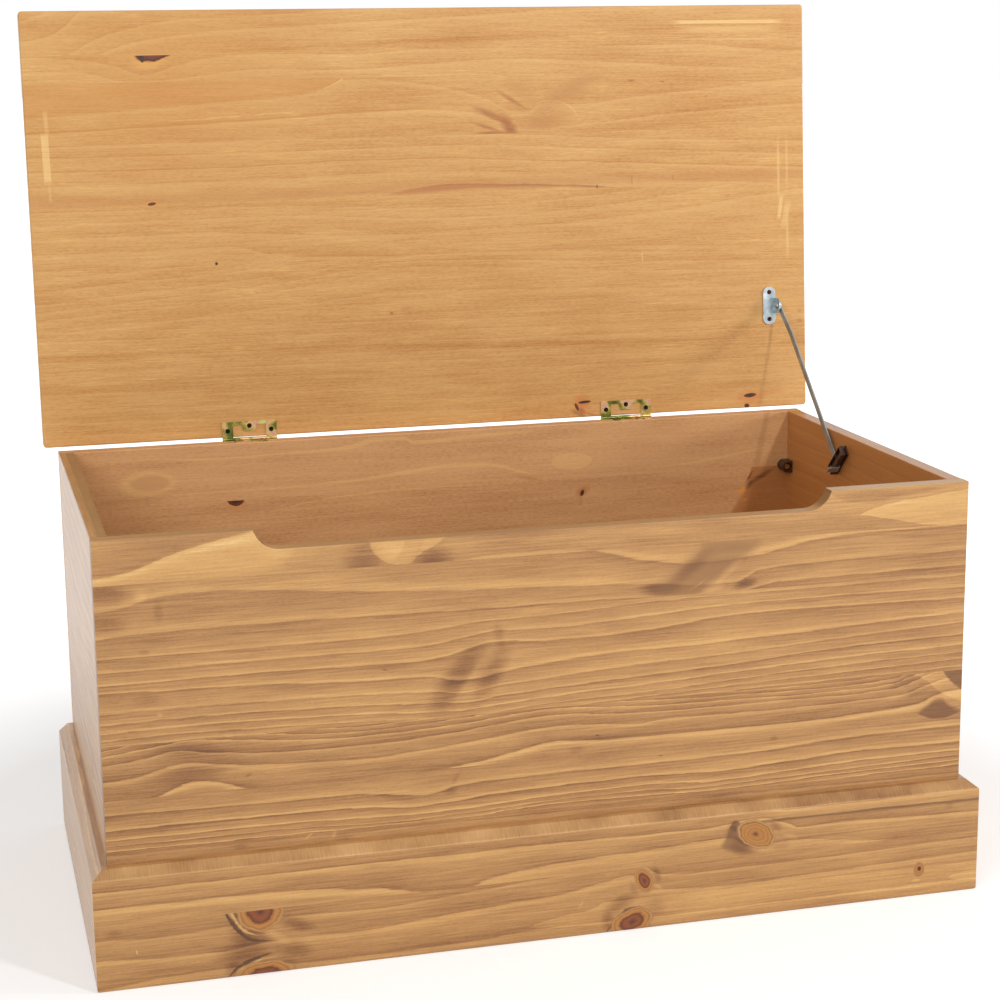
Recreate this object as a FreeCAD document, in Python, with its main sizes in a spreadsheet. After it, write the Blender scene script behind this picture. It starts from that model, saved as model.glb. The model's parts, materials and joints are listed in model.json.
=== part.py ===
import FreeCAD, Part
import math
import os

import Sketcher
from FreeCAD import Placement, Rotation, Vector

# A pine storage trunk: four panels and a base on a moulded plinth, and a lid on two flush hinges,
# held open by a bar that slides through a plastic guide.
# Millimetres. +Z is up, +X is to the right and +Y is to the back. The origin is on the floor, under
# the middle of the trunk's box with the lid open.

DOC = FreeCAD.newDocument("StorageTrunk")

DRIVING_SIZES = (
    # Carcass
    ("width", 900.0),
    ("depth", 468.0),
    ("rim_height", 446.0),
    ("board", 17.0),
    ("arris", 1.2),
    ("scoop_width", 593.0),
    ("scoop_depth", 20.0),
    ("scoop_radius", 26.0),
    # Base, on four battens
    ("base_board", 9.0),
    ("base_play", 0.5),
    ("batten", 20.0),
    ("batten_rise", 15.0),
    # Plinth: its top edge has a flat, a slope and a rounded nose
    ("plinth_board", 16.5),
    ("plinth_height", 122.5),
    ("plinth_flat", 6.0),
    ("plinth_slope_drop", 8.5),
    ("plinth_nose", 2.5),
    ("plinth_foot_round", 3.0),
    # Lid
    ("lid_board", 17.0),
    ("lid_side_overhang", 15.5),
    ("lid_front_overhang", 19.0),
    ("lid_corner_radius", 4.0),
    ("lid_arris", 1.8),
    ("open_angle", 94.2),
    # Flush hinges. Reaches are measured from the pin.
    ("hinge_length", 63.5),
    ("hinge_inset", 220.0),
    ("leaf_thickness", 1.2),
    ("leaf_play", 0.2),
    ("hinge_pin_radius", 1.2),
    ("knuckle_radius", 2.3),
    ("knuckle_clearance", 0.3),
    ("running_clearance", 0.05),
    ("lid_leaf_reach", 20.6),
    ("lid_leaf_outer_hole_reach", 10.2),
    ("lid_leaf_middle_hole_reach", 15.5),
    ("lid_leaf_hole_pitch", 25.4),
    ("window_length", 38.6),
    ("window_reach", 16.8),
    ("tab_width", 13.3),
    ("tab_root_width", 17.0),
    ("tab_reach", 9.4),
    ("nesting_play", 0.5),
    ("rim_leaf_hole_reach", 7.4),
    ("rim_leaf_hole_offset", 12.2),
    # Countersunk screws
    ("hinge_screw_head_radius", 2.8),
    ("hinge_screw_shank_radius", 1.5),
    ("hinge_screw_length", 14.0),
    ("frame_screw_head_radius", 3.8),
    ("frame_screw_shank_radius", 2.0),
    ("frame_screw_grip", 12.0),
    ("frame_screw_inset", 60.0),
    ("recess_width", 1.0),
    # Dowels between the panels' ends
    ("dowel_radius", 4.0),
    ("dowel_in_face", 11.0),
    ("dowel_in_edge", 20.0),
    ("dowel_spacing", 14.5),
    # Corner connectors
    ("connector_height", 14.0),
    ("connector_reach", 13.0),
    ("connector_length", 18.0),
    ("connector_drop", 66.5),
    ("connector_rise", 90.0),
    ("connector_well_radius", 4.7),
    ("connector_well_depth", 6.0),
    ("connector_peg_radius", 3.0),
    ("connector_peg_length", 9.0),
    ("connector_screw_head_radius", 3.2),
    ("connector_screw_head_height", 3.0),
    ("connector_screw_radius", 2.0),
    ("connector_screw_grip", 12.0),
    # Lid stay: bracket on the lid
    ("bracket_reach", 124.7),
    ("bracket_side_gap", 7.4),
    ("bracket_width", 15.9),
    ("bracket_length", 46.0),
    ("bracket_thickness", 1.5),
    ("bracket_hole_pitch", 33.0),
    ("ear_length", 18.4),
    ("ear_height", 18.5),
    ("rivet_height", 10.0),
    ("rivet_radius", 2.0),
    ("rivet_head_radius", 3.8),
    ("rivet_head_height", 2.4),
    ("rivet_tail_radius", 3.6),
    ("rivet_tail_height", 1.2),
    ("washer_radius", 5.0),
    ("washer_thickness", 0.8),
    # Lid stay: sliding bar
    ("bar_width", 8.0),
    ("bar_thickness", 1.5),
    ("bar_eye_radius", 5.5),
    ("bar_play", 0.15),
    ("bar_set", 2.4),
    ("bar_set_start", 7.0),
    ("bar_set_end", 45.0),
    ("bar_tab", 15.0),
    ("bar_bend_radius", 2.4),
    # Lid stay: guide on the right side panel. Places on it are measured from its screw.
    ("guide_back", 170.8),
    ("guide_drop", 41.6),
    ("guide_tilt", 4.5),
    ("guide_thickness", 9.1),
    ("guide_width", 12.6),
    ("guide_heel", 4.5),
    ("guide_length", 42.4),
    ("guide_round", 0.8),
    ("guide_bar_offset", 8.5),
    ("guide_play", 0.3),
    ("guide_front_wall", 5.1),
    ("guide_slot", 2.1),
    ("guide_pocket_depth", 3.2),
    ("guide_rim", 1.3),
    ("guide_rib", 2.0),
    ("guide_rib_place", 22.0),
    ("guide_screw_head_radius", 3.2),
    ("guide_screw_head_height", 2.2),
    ("guide_screw_radius", 2.0),
    ("guide_screw_grip", 12.0),
)


def make_sheet(rows):
    """The driving sizes, one plain number in a row, each with its alias."""
    sheet = DOC.addObject("Spreadsheet::Sheet", "Sizes")
    for row, (alias, value) in enumerate(rows, start=1):
        sheet.set(f"A{row}", alias.replace("_", " "))
        sheet.set(f"B{row}", str(value))
        sheet.setAlias(f"B{row}", alias)
    DOC.recompute()
    return sheet


SHEET = make_sheet(DRIVING_SIZES)


def size(alias):
    """A driving size as a number, for what is worked out in code."""
    return float(SHEET.get(alias))


# Places that follow from the sizes. The hinge pin runs behind the back panel, level with the leaves.
LID_GAP = size("leaf_thickness") + size("leaf_play")
PIN_SETBACK = size("knuckle_radius") + size("knuckle_clearance")
LID_DEPTH = size("depth") + size("lid_front_overhang")


def opened(across, up, degrees=size("open_angle")):
    """Where a point of the closed lid goes when the lid is open, both measured from the hinge pin."""
    angle = math.radians(degrees)
    back = across * math.cos(angle) + up * math.sin(angle)
    high = up * math.cos(angle) - across * math.sin(angle)
    return back, high


def trunk_front():
    """Where the front panel's outer face stands, so that the origin is under the middle of the box."""
    lid_top = LID_GAP / 2 + size("lid_board")
    lid_back = opened(-PIN_SETBACK - LID_DEPTH, lid_top)[0]
    rearmost = size("depth") + PIN_SETBACK + lid_back
    foremost = -size("plinth_board")
    return -(rearmost + foremost) / 2


FRONT = trunk_front()
BACK = FRONT + size("depth")
PIN_Y = BACK + PIN_SETBACK
PIN_Z = size("rim_height") + LID_GAP / 2
LID_UNDERSIDE = size("rim_height") + LID_GAP
INNER_SIDE = size("width") / 2 - size("board")
INNER_FRONT = FRONT + size("board")
INNER_BACK = BACK - size("board")
LID_POSE = Placement(
    Vector(0, 0, 0), Rotation(Vector(1, 0, 0), -size("open_angle")), Vector(0, PIN_Y, PIN_Z)
)

LAYOUT = DOC.addObject("App::VarSet", "Layout")
LAYOUT.addProperty("App::PropertyFloat", "front", "Places", "outer face of the front panel")
LAYOUT.addProperty("App::PropertyFloat", "lid_underside", "Places", "underside of the closed lid")
LAYOUT.front = FRONT
LAYOUT.lid_underside = LID_UNDERSIDE

PARTS = []

# How far a cutter passes the faces that it cuts through
OVERCUT = 1.0
# A cross recess's reach and depth, as shares of the head's radius
RECESS_REACH = 0.62
RECESS_DEPTH = 0.6
# Counts
DOWELS_IN_CORNER = 3
PLINTH_SCREWS_ACROSS = 4
PLINTH_SCREWS_ALONG = 3
BATTEN_SCREWS_ACROSS = 3
BATTEN_SCREWS_ALONG = 2
# Sketches start as a ring of points here, before their formulas hold them
RING_MIDDLE = 60
RING_RADIUS = 50


def bind(thing, **formulas):
    """Ties properties to formulas of the sheet. A double underscore stands for a dot."""
    for name, formula in formulas.items():
        thing.setExpression(name.replace("__", "."), formula)
    return thing


def at(thing, x="0", y="0", z="0"):
    """Ties the place of an object to formulas."""
    return bind(thing, Placement__Base__x=x, Placement__Base__y=y, Placement__Base__z=z)


def keep(label, thing):
    """Names a finished sub-part."""
    thing.Label = label
    PARTS.append(thing)
    return thing


def new_body(name, x, y, z):
    body = DOC.addObject("PartDesign::Body", name)
    return at(body, x, y, z)


def new_sketch(body, name, role):
    sketch = body.newObject("Sketcher::SketchObject", name)
    plane = next(feature for feature in body.Origin.OriginFeatures if feature.Role == role)
    sketch.AttachmentSupport = [(plane, "")]
    sketch.MapMode = "FlatFace"
    return sketch


def pin_coordinate(sketch, kind, axis, geometry, start, formula):
    """Holds one coordinate of a point, from the sketch's origin."""
    if formula == "0":
        sketch.addConstraint(Sketcher.Constraint("PointOnObject", geometry, 1, axis))
        return
    index = sketch.addConstraint(Sketcher.Constraint(kind, -1, 1, geometry, 1, start))
    sketch.setExpression(f"Constraints[{index}]", formula)


def outline(body, name, role, corners):
    """A closed sketch through corners, each a pair of formulas measured from the body's origin."""
    sketch = new_sketch(body, name, role)
    count = len(corners)
    turns = [math.radians(225 + 360 * i / count) for i in range(count)]
    middle_place = Vector(RING_MIDDLE, RING_MIDDLE, 0)
    spokes = [Vector(math.cos(turn), math.sin(turn), 0) * RING_RADIUS for turn in turns]
    ring = [middle_place + spoke for spoke in spokes]
    for i in range(count):
        sketch.addGeometry(Part.LineSegment(ring[i], ring[(i + 1) % count]), False)
    for i in range(count):
        sketch.addConstraint(Sketcher.Constraint("Coincident", i, 2, (i + 1) % count, 1))
    for i, (across, up) in enumerate(corners):
        pin_coordinate(sketch, "DistanceX", -2, i, ring[i].x, across)
        pin_coordinate(sketch, "DistanceY", -1, i, ring[i].y, up)
    return sketch


def rectangle(body, name, role, across, up):
    return outline(body, name, role, (("0", "0"), (across, "0"), (across, up), ("0", up)))


def pad(body, sketch, length, reverse=False):
    feature = body.newObject("PartDesign::Pad", sketch.Name + "Pad")
    feature.Profile = sketch
    feature.Reversed = reverse
    bind(feature, Length=length)
    DOC.recompute()
    return feature


def pocket(body, sketch, length, reverse=False):
    """Cuts a sketch out of the body, and makes sure that it took something away."""
    before = body.Shape.Volume
    feature = body.newObject("PartDesign::Pocket", sketch.Name + "Pocket")
    feature.Profile = sketch
    feature.Reversed = reverse
    bind(feature, Length=length)
    DOC.recompute()
    if body.Shape.Volume >= before:
        raise ValueError(feature.Name + " cut nothing")
    return feature


def round_edges(body, base, name, radius, wanted):
    """Rounds those edges of a feature that the test picks."""
    edges = base.Shape.Edges
    names = [f"Edge{i}" for i, edge in enumerate(edges, start=1) if wanted(edge)]
    feature = body.newObject("PartDesign::Fillet", name)
    feature.Base = (base, names)
    bind(feature, Radius=radius)
    DOC.recompute()
    return feature


def middle(edge):
    """The edge's middle, in its body's own frame."""
    return edge.valueAt((edge.FirstParameter + edge.LastParameter) / 2)


FINE = 1e-3


def same(a, b):
    return abs(a - b) < FINE


def runs(edge, axis):
    """Whether an edge starts out along an axis."""
    return same(abs(getattr(edge.tangentAt(edge.FirstParameter), axis)), 1)


def is_long(edge):
    """Leaves out the short edges at a board's ends."""
    return edge.Length > 2 * size("board")


# Fasteners, each made along +Z with its head's face at the origin, then driven into place.


def countersunk(head_radius, shank_radius, length):
    head_depth = head_radius - shank_radius
    head = Part.makeCone(head_radius, shank_radius, head_depth)
    shank = Part.makeCylinder(shank_radius, length - head_depth, Vector(0, 0, head_depth))
    return head.fuse(shank).removeSplitter()


def cheese_head(head_radius, head_height, shank_radius, length):
    """A flat-headed screw. Its head stands above the origin, and its shank goes down from it."""
    head = Part.makeCylinder(head_radius, head_height, Vector(0, 0, -head_height))
    shank = Part.makeCylinder(shank_radius, length)
    return head.fuse(shank).removeSplitter()


def cross_recess(head_radius, top):
    """The cutter of a cross recess, from the head's face down."""
    reach = RECESS_REACH * head_radius
    width = size("recess_width")
    deep = RECESS_DEPTH * head_radius
    one = Part.makeBox(2 * reach, width, deep, Vector(-reach, -width / 2, top))
    other = Part.makeBox(width, 2 * reach, deep, Vector(-width / 2, -reach, top))
    return one.fuse(other)


def driven(solid, point, direction):
    """A copy of a fastener at a point, with its shank along a direction."""
    copy = solid.copy()
    copy.Placement = Placement(point, Rotation(Vector(0, 0, 1), direction))
    return copy


def add_shape(name, shape):
    feature = DOC.addObject("Part::Feature", name)
    feature.Shape = shape
    return feature


def fastener_group(label, solid, recess, places, pose=None):
    """A node of like fasteners, and the plain forms that cut their seats in the boards."""
    plain = [driven(solid, *place) for place in places]
    cut = [driven(solid.cut(recess), *place) for place in places]
    seats = add_shape(label + "_seats", Part.makeCompound(plain))
    node = add_shape(label, Part.makeCompound(cut))
    if pose is not None:
        node.Placement = pose
    keep(label, node)
    return seats


def seated(label, board, tools, pose=None):
    """A board with the seats of its fasteners cut out."""
    tool = DOC.addObject("Part::Compound", label + "_tools")
    tool.Links = tools
    cut = DOC.addObject("Part::Cut", label)
    cut.Base = board
    cut.Tool = tool
    if pose is not None:
        cut.Placement = pose
    return keep(label, cut)


AHEAD = Vector(0, -1, 0)
BEHIND = Vector(0, 1, 0)
LEFTWARD = Vector(-1, 0, 0)
RIGHTWARD = Vector(1, 0, 0)
UPWARD = Vector(0, 0, 1)
DOWNWARD = Vector(0, 0, -1)
SIDES = (("left", -1), ("right", 1))


def spread(low, high, count):
    """Places spaced evenly from low to high."""
    return [low + (high - low) * i / (count - 1) for i in range(count)]


def dowels():
    """Three dowels in each corner, half in a side panel's edge and half in the front or back panel.
    The lowest and the highest stand clear of the connectors."""
    solid = Part.makeCylinder(size("dowel_radius"), size("dowel_in_face") + size("dowel_in_edge"))
    clear = size("connector_height") / 2 + size("dowel_spacing")
    top = size("rim_height") - size("connector_drop") + clear
    heights = spread(size("connector_rise") - clear, top, DOWELS_IN_CORNER)
    across = size("width") / 2 - size("board") / 2
    places = []
    for side in (-1, 1):
        for height in heights:
            ahead = Vector(side * across, INNER_FRONT - size("dowel_in_face"), height)
            behind = Vector(side * across, INNER_BACK + size("dowel_in_face"), height)
            places += [(ahead, BEHIND), (behind, AHEAD)]
    shape = Part.makeCompound([driven(solid, *place) for place in places])
    return keep("corner_dowels", add_shape("corner_dowels", shape))


def plinth_screws():
    """Screws through the panels into the plinth, with their heads on the panels' inner faces."""
    grip = size("board") + size("frame_screw_grip")
    solid = countersunk(size("frame_screw_head_radius"), size("frame_screw_shank_radius"), grip)
    recess = cross_recess(size("frame_screw_head_radius"), 0)
    height = (size("plinth_height") + size("batten_rise") + size("batten") + size("base_board")) / 2
    inset = size("frame_screw_inset")
    across = spread(inset - INNER_SIDE, INNER_SIDE - inset, PLINTH_SCREWS_ACROSS)
    along = spread(INNER_FRONT + inset, INNER_BACK - inset, PLINTH_SCREWS_ALONG)
    places = [(Vector(x, INNER_FRONT, height), AHEAD) for x in across]
    places += [(Vector(-INNER_SIDE, y, height), LEFTWARD) for y in along]
    places += [(Vector(INNER_SIDE, y, height), RIGHTWARD) for y in along]
    return fastener_group("plinth_screws", solid, recess, places)


def batten_screws():
    """Screws through the battens into the panels."""
    grip = size("batten") + size("frame_screw_grip")
    solid = countersunk(size("frame_screw_head_radius"), size("frame_screw_shank_radius"), grip)
    recess = cross_recess(size("frame_screw_head_radius"), 0)
    height = size("batten_rise") + size("batten") / 2
    inset = size("batten") + size("frame_screw_inset")
    across = spread(inset - INNER_SIDE, INNER_SIDE - inset, BATTEN_SCREWS_ACROSS)
    along = spread(INNER_FRONT + inset, INNER_BACK - inset, BATTEN_SCREWS_ALONG)
    places = []
    for x in across:
        places.append((Vector(x, INNER_FRONT + size("batten"), height), AHEAD))
        places.append((Vector(x, INNER_BACK - size("batten"), height), BEHIND))
    for y in along:
        places.append((Vector(size("batten") - INNER_SIDE, y, height), LEFTWARD))
        places.append((Vector(INNER_SIDE - size("batten"), y, height), RIGHTWARD))
    return fastener_group("batten_screws", solid, recess, places)


def connector_places():
    """Each corner connector's name, its side of the trunk, its end and the height of its middle."""
    heights = (
        ("upper", size("rim_height") - size("connector_drop")),
        ("lower", size("connector_rise")),
    )
    ends = (("front", INNER_FRONT, 1), ("back", INNER_BACK, -1))
    for side_name, side in SIDES:
        for end_name, wall, inward in ends:
            for level, height in heights:
                yield f"connector_{end_name}_{side_name}_{level}", side, wall, inward, height


def connector(label, side, wall, inward, height):
    """A plastic block on a side panel. Its screw pulls the front or back panel to it."""
    radius = size("connector_height") / 2
    length = size("connector_length")
    middle_x = side * (INNER_SIDE - size("connector_reach") + radius)
    near = min(middle_x, side * INNER_SIDE)
    start = min(wall, wall + inward * length)
    across = size("connector_reach") - radius
    block = Part.makeBox(across, length, 2 * radius, Vector(near, start, height - radius))
    nose = Part.makeCylinder(radius, length, Vector(middle_x, start, height), BEHIND)
    outward = Vector(side, 0, 0)
    peg_root = Vector(side * INNER_SIDE, wall + inward * length / 2, height)
    peg = Part.makeCylinder(
        size("connector_peg_radius"), size("connector_peg_length"), peg_root, outward
    )
    mouth = Vector(middle_x, wall + inward * length, height)
    towards_wall = Vector(0, -inward, 0)
    well = Part.makeCylinder(
        size("connector_well_radius"), size("connector_well_depth"), mouth, towards_wall
    )
    bore = Part.makeCylinder(size("connector_screw_radius"), length, mouth, towards_wall)
    shape = block.fuse([nose, peg]).cut([well, bore]).removeSplitter()
    return keep(label, add_shape(label, shape))


def connector_screws():
    """One brass screw in each connector, into the front or back panel."""
    seat = size("connector_length") - size("connector_well_depth")
    length = seat + size("connector_screw_grip")
    head = size("connector_screw_head_height")
    solid = cheese_head(
        size("connector_screw_head_radius"), head, size("connector_screw_radius"), length
    )
    recess = cross_recess(size("connector_screw_head_radius"), -head)
    radius = size("connector_height") / 2
    places = []
    for _, side, wall, inward, height in connector_places():
        across = side * (INNER_SIDE - size("connector_reach") + radius)
        places.append((Vector(across, wall + inward * seat, height), Vector(0, -inward, 0)))
    return fastener_group("connector_screws", solid, recess, places)


# Boards of the carcass


def front_board():
    """The front panel, as wide as the trunk, with the long finger scoop in its top edge."""
    body = new_body("FrontBoard", "-Sizes.width / 2", "Layout.front", "0")
    plate = rectangle(body, "FrontOutline", "XZ_Plane", "Sizes.width", "Sizes.rim_height")
    pad(body, plate, "Sizes.board", reverse=True)
    sketch = new_sketch(body, "Scoop", "XZ_Plane")
    radius = size("scoop_radius")
    rise = radius - size("scoop_depth")
    inset = math.sqrt(radius**2 - rise**2)
    left = size("width") / 2 - size("scoop_width") / 2 + inset
    right = size("width") - left
    centre_height = size("rim_height") + rise
    low = Vector(0, -radius, 0)
    high = Vector(0, radius, 0)
    centres = (Vector(left, centre_height, 0), Vector(right, centre_height, 0))
    normal = Vector(0, 0, 1)
    quarter = math.pi / 2
    left_end = Part.ArcOfCircle(Part.Circle(centres[0], normal, radius), quarter, 3 * quarter)
    right_end = Part.ArcOfCircle(Part.Circle(centres[1], normal, radius), -quarter, quarter)
    floor = Part.LineSegment(centres[0] + low, centres[1] + low)
    roof = Part.LineSegment(centres[1] + high, centres[0] + high)
    sketch.addGeometry([left_end, right_end, floor, roof], False)
    for first, second in ((0, 2), (2, 1), (1, 3), (3, 0)):
        sketch.addConstraint(Sketcher.Constraint("Tangent", first, 2, second, 1))
    sketch.addConstraint(Sketcher.Constraint("Horizontal", 2))
    radius_at = sketch.addConstraint(Sketcher.Constraint("Radius", 0, radius))
    left_at = sketch.addConstraint(Sketcher.Constraint("DistanceX", -1, 1, 0, 3, left))
    right_at = sketch.addConstraint(Sketcher.Constraint("DistanceX", -1, 1, 1, 3, right))
    floor_height = Sketcher.Constraint("DistanceY", -1, 1, 2, 1, centre_height - radius)
    floor_at = sketch.addConstraint(floor_height)
    chord = "sqrt(Sizes.scoop_radius ^ 2 - (Sizes.scoop_radius - Sizes.scoop_depth) ^ 2)"
    sketch.setExpression(f"Constraints[{radius_at}]", "Sizes.scoop_radius")
    left_formula = f"(Sizes.width - Sizes.scoop_width) / 2 + {chord}"
    sketch.setExpression(f"Constraints[{left_at}]", left_formula)
    sketch.setExpression(f"Constraints[{right_at}]", f"Sizes.width - ({left_formula})")
    sketch.setExpression(f"Constraints[{floor_at}]", "Sizes.rim_height - Sizes.scoop_depth")
    cut = pocket(body, sketch, "Sizes.board")
    lowest = size("rim_height") - size("scoop_depth") - OVERCUT

    def on_rim(edge):
        return middle(edge).z > lowest and not runs(edge, "y") and edge.Length > size("board")

    return round_edges(body, cut, "FrontArris", "Sizes.arris", on_rim), body


def plain_board(name, role, across, up, thickness, x, y, z, reverse, arris, wanted):
    """A rectangular board with some of its edges rounded."""
    body = new_body(name, x, y, z)
    sheet = rectangle(body, name + "Outline", role, across, up)
    solid = pad(body, sheet, thickness, reverse)
    round_edges(body, solid, name + "Arris", arris, wanted)
    return body


def top_edge(edge):
    """Picks the long edges along the rim."""
    return same(middle(edge).z, size("rim_height")) and is_long(edge)


def carcass_boards():
    front = front_board()[1]
    back = plain_board(
        "BackBoard", "XZ_Plane", "Sizes.width", "Sizes.rim_height", "Sizes.board",
        "-Sizes.width / 2", "Layout.front + Sizes.depth - Sizes.board", "0", True,
        "Sizes.arris", top_edge,
    )
    sides = []
    rows = (("LeftBoard", "-Sizes.width / 2"), ("RightBoard", "Sizes.width / 2 - Sizes.board"))
    for name, x in rows:
        sides.append(plain_board(
            name, "YZ_Plane", "Sizes.depth - 2 * Sizes.board", "Sizes.rim_height", "Sizes.board",
            x, "Layout.front + Sizes.board", "0", False, "Sizes.arris", top_edge,
        ))
    return front, back, sides[0], sides[1]


def box(name, length, width, height, x, y, z):
    block = DOC.addObject("Part::Box", name)
    bind(block, Length=length, Width=width, Height=height)
    return at(block, x, y, z)


def battens(screws):
    """Four battens round the inside, which carry the base."""
    inner_length = "(Sizes.width - 2 * Sizes.board)"
    inner_depth = "(Sizes.depth - 2 * Sizes.board)"
    left = "Sizes.board - Sizes.width / 2"
    front = "Layout.front + Sizes.board"
    rows = (
        ("front", inner_length, "Sizes.batten", left, front),
        ("back", inner_length, "Sizes.batten", left,
         "Layout.front + Sizes.depth - Sizes.board - Sizes.batten"),
        ("left", "Sizes.batten", inner_depth + " - 2 * Sizes.batten", left,
         front + " + Sizes.batten"),
        ("right", "Sizes.batten", inner_depth + " - 2 * Sizes.batten",
         "Sizes.width / 2 - Sizes.board - Sizes.batten", front + " + Sizes.batten"),
    )
    for name, length, width, x, y in rows:
        bar = box(f"{name}_batten_bar", length, width, "Sizes.batten", x, y, "Sizes.batten_rise")
        seated("batten_" + name, bar, [screws])


def base_panel():
    """The base lies on the battens, with a little play all round."""
    panel = box(
        "base_panel", "Sizes.width - 2 * Sizes.board - 2 * Sizes.base_play",
        "Sizes.depth - 2 * Sizes.board - 2 * Sizes.base_play", "Sizes.base_board",
        "Sizes.board - Sizes.width / 2 + Sizes.base_play",
        "Layout.front + Sizes.board + Sizes.base_play", "Sizes.batten_rise + Sizes.batten",
    )
    return keep("base_panel", panel)


def plinth_profile(body, name, role, out):
    """The plinth's section. Out turns a distance from the panel into a formula across the sketch."""
    corners = (
        (out("0"), "0"),
        (out("Sizes.plinth_board"), "0"),
        (out("Sizes.plinth_board"), "Sizes.plinth_height - Sizes.plinth_slope_drop"),
        (out("Sizes.plinth_flat"), "Sizes.plinth_height"),
        (out("0"), "Sizes.plinth_height"),
    )
    return outline(body, name, role, corners)


def outward_up(distance):
    """Where a distance from the panel is in a sketch that starts at the panel."""
    return distance


def outward_down(distance):
    """The same in a sketch that starts at the plinth's outer face."""
    if distance == "0":
        return "Sizes.plinth_board"
    return "0" if distance == "Sizes.plinth_board" else f"Sizes.plinth_board - {distance}"


def round_plinth(body, base, name, is_outer):
    """Rounds the nose under the slope, and the foot."""
    nose_height = size("plinth_height") - size("plinth_slope_drop")

    def nose(edge):
        spot = middle(edge)
        return same(spot.z, nose_height) and is_outer(spot) and is_long(edge)

    def foot(edge):
        spot = middle(edge)
        return same(spot.z, 0) and is_outer(spot) and is_long(edge)

    rounded = round_edges(body, base, name + "Nose", "Sizes.plinth_nose", nose)
    return round_edges(body, rounded, name + "Foot", "Sizes.plinth_foot_round", foot)


def plinth_front(screws):
    """The front board, mitred at both ends."""
    body = new_body(
        "PlinthFrontBoard", "-Sizes.width / 2 - Sizes.plinth_board",
        "Layout.front - Sizes.plinth_board", "0",
    )
    long_edge = "Sizes.width + 2 * Sizes.plinth_board"
    short_end = "Sizes.width + Sizes.plinth_board"
    sketch = plinth_profile(body, "PlinthFrontProfile", "YZ_Plane", outward_down)
    bar = pad(body, sketch, long_edge)
    left_corners = (
        ("0", "0"), ("Sizes.plinth_board", "Sizes.plinth_board"), ("0", "Sizes.plinth_board"),
    )
    right_corners = (
        (long_edge, "0"), (long_edge, "Sizes.plinth_board"), (short_end, "Sizes.plinth_board"),
    )
    left = outline(body, "PlinthFrontLeftMitre", "XY_Plane", left_corners)
    right = outline(body, "PlinthFrontRightMitre", "XY_Plane", right_corners)
    pocket(body, left, "Sizes.plinth_height", reverse=True)
    bar = pocket(body, right, "Sizes.plinth_height", reverse=True)
    round_plinth(body, bar, "PlinthFront", lambda spot: same(spot.y, 0))
    seated("plinth_front", body, [screws])


def plinth_side(side_name, side, screws):
    """A side board, mitred at the front and square at the back."""
    x = "-Sizes.width / 2 - Sizes.plinth_board" if side < 0 else "Sizes.width / 2"
    label = f"plinth_{side_name}"
    name = f"Plinth{side_name.capitalize()}"
    body = new_body(name + "Board", x, "Layout.front - Sizes.plinth_board", "0")
    out = outward_down if side < 0 else outward_up
    sketch = plinth_profile(body, name + "Profile", "XZ_Plane", out)
    pad(body, sketch, "Sizes.depth + Sizes.plinth_board", reverse=True)
    inner_x = "Sizes.plinth_board" if side < 0 else "0"
    corners = (("0", "0"), ("Sizes.plinth_board", "0"), (inner_x, "Sizes.plinth_board"))
    mitre = outline(body, name + "Mitre", "XY_Plane", corners)
    bar = pocket(body, mitre, "Sizes.plinth_height", reverse=True)
    outer = 0 if side < 0 else size("plinth_board")
    round_plinth(body, bar, name, lambda spot: same(spot.x, outer))
    seated(label, body, [screws])


# Lid and its hinges, made closed and turned open about the hinge pins


def lid_board():
    body = new_body(
        "LidBoard", "-Sizes.width / 2 - Sizes.lid_side_overhang",
        "Layout.front - Sizes.lid_front_overhang", "Layout.lid_underside",
    )
    plan = rectangle(
        body, "LidOutline", "XY_Plane", "Sizes.width + 2 * Sizes.lid_side_overhang",
        "Sizes.depth + Sizes.lid_front_overhang",
    )
    slab = pad(body, plan, "Sizes.lid_board")

    def upright(edge):
        return runs(edge, "z")

    def level(edge):
        return not upright(edge)

    corners = round_edges(body, slab, "LidCorners", "Sizes.lid_corner_radius", upright)
    round_edges(body, corners, "LidArris", "Sizes.lid_arris", level)
    return body


def hinge_centres():
    """Each hinge's side and the middle of its length."""
    inset = size("width") / 2 - size("hinge_inset")
    return (("left", -inset), ("right", inset))


def plate(low_x, high_x, low_y, high_y, low_z, thickness):
    corner = Vector(low_x, low_y, low_z)
    return Part.makeBox(high_x - low_x, high_y - low_y, thickness, corner)


def along_x(radius, low_x, high_x, y, z):
    return Part.makeCylinder(radius, high_x - low_x, Vector(low_x, y, z), RIGHTWARD)


def hinge_screw_form():
    return countersunk(
        size("hinge_screw_head_radius"), size("hinge_screw_shank_radius"), size("hinge_screw_length")
    )


def lid_leaf_screw_places(centre):
    """Head places on a lid leaf: two outer holes and one in the tab."""
    top = LID_UNDERSIDE - size("leaf_thickness")
    pitch = size("lid_leaf_hole_pitch")
    outer = PIN_Y - size("lid_leaf_outer_hole_reach")
    tab = PIN_Y - size("lid_leaf_middle_hole_reach")
    spots = ((centre - pitch, outer), (centre, tab), (centre + pitch, outer))
    return [(Vector(x, y, top), UPWARD) for x, y in spots]


def rim_leaf_screw_places(centre):
    """Head places on a rim leaf."""
    top = size("rim_height") + size("leaf_thickness")
    across = size("rim_leaf_hole_offset")
    back = PIN_Y - size("rim_leaf_hole_reach")
    return [(Vector(centre + step, back, top), DOWNWARD) for step in (-across, across)]


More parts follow.
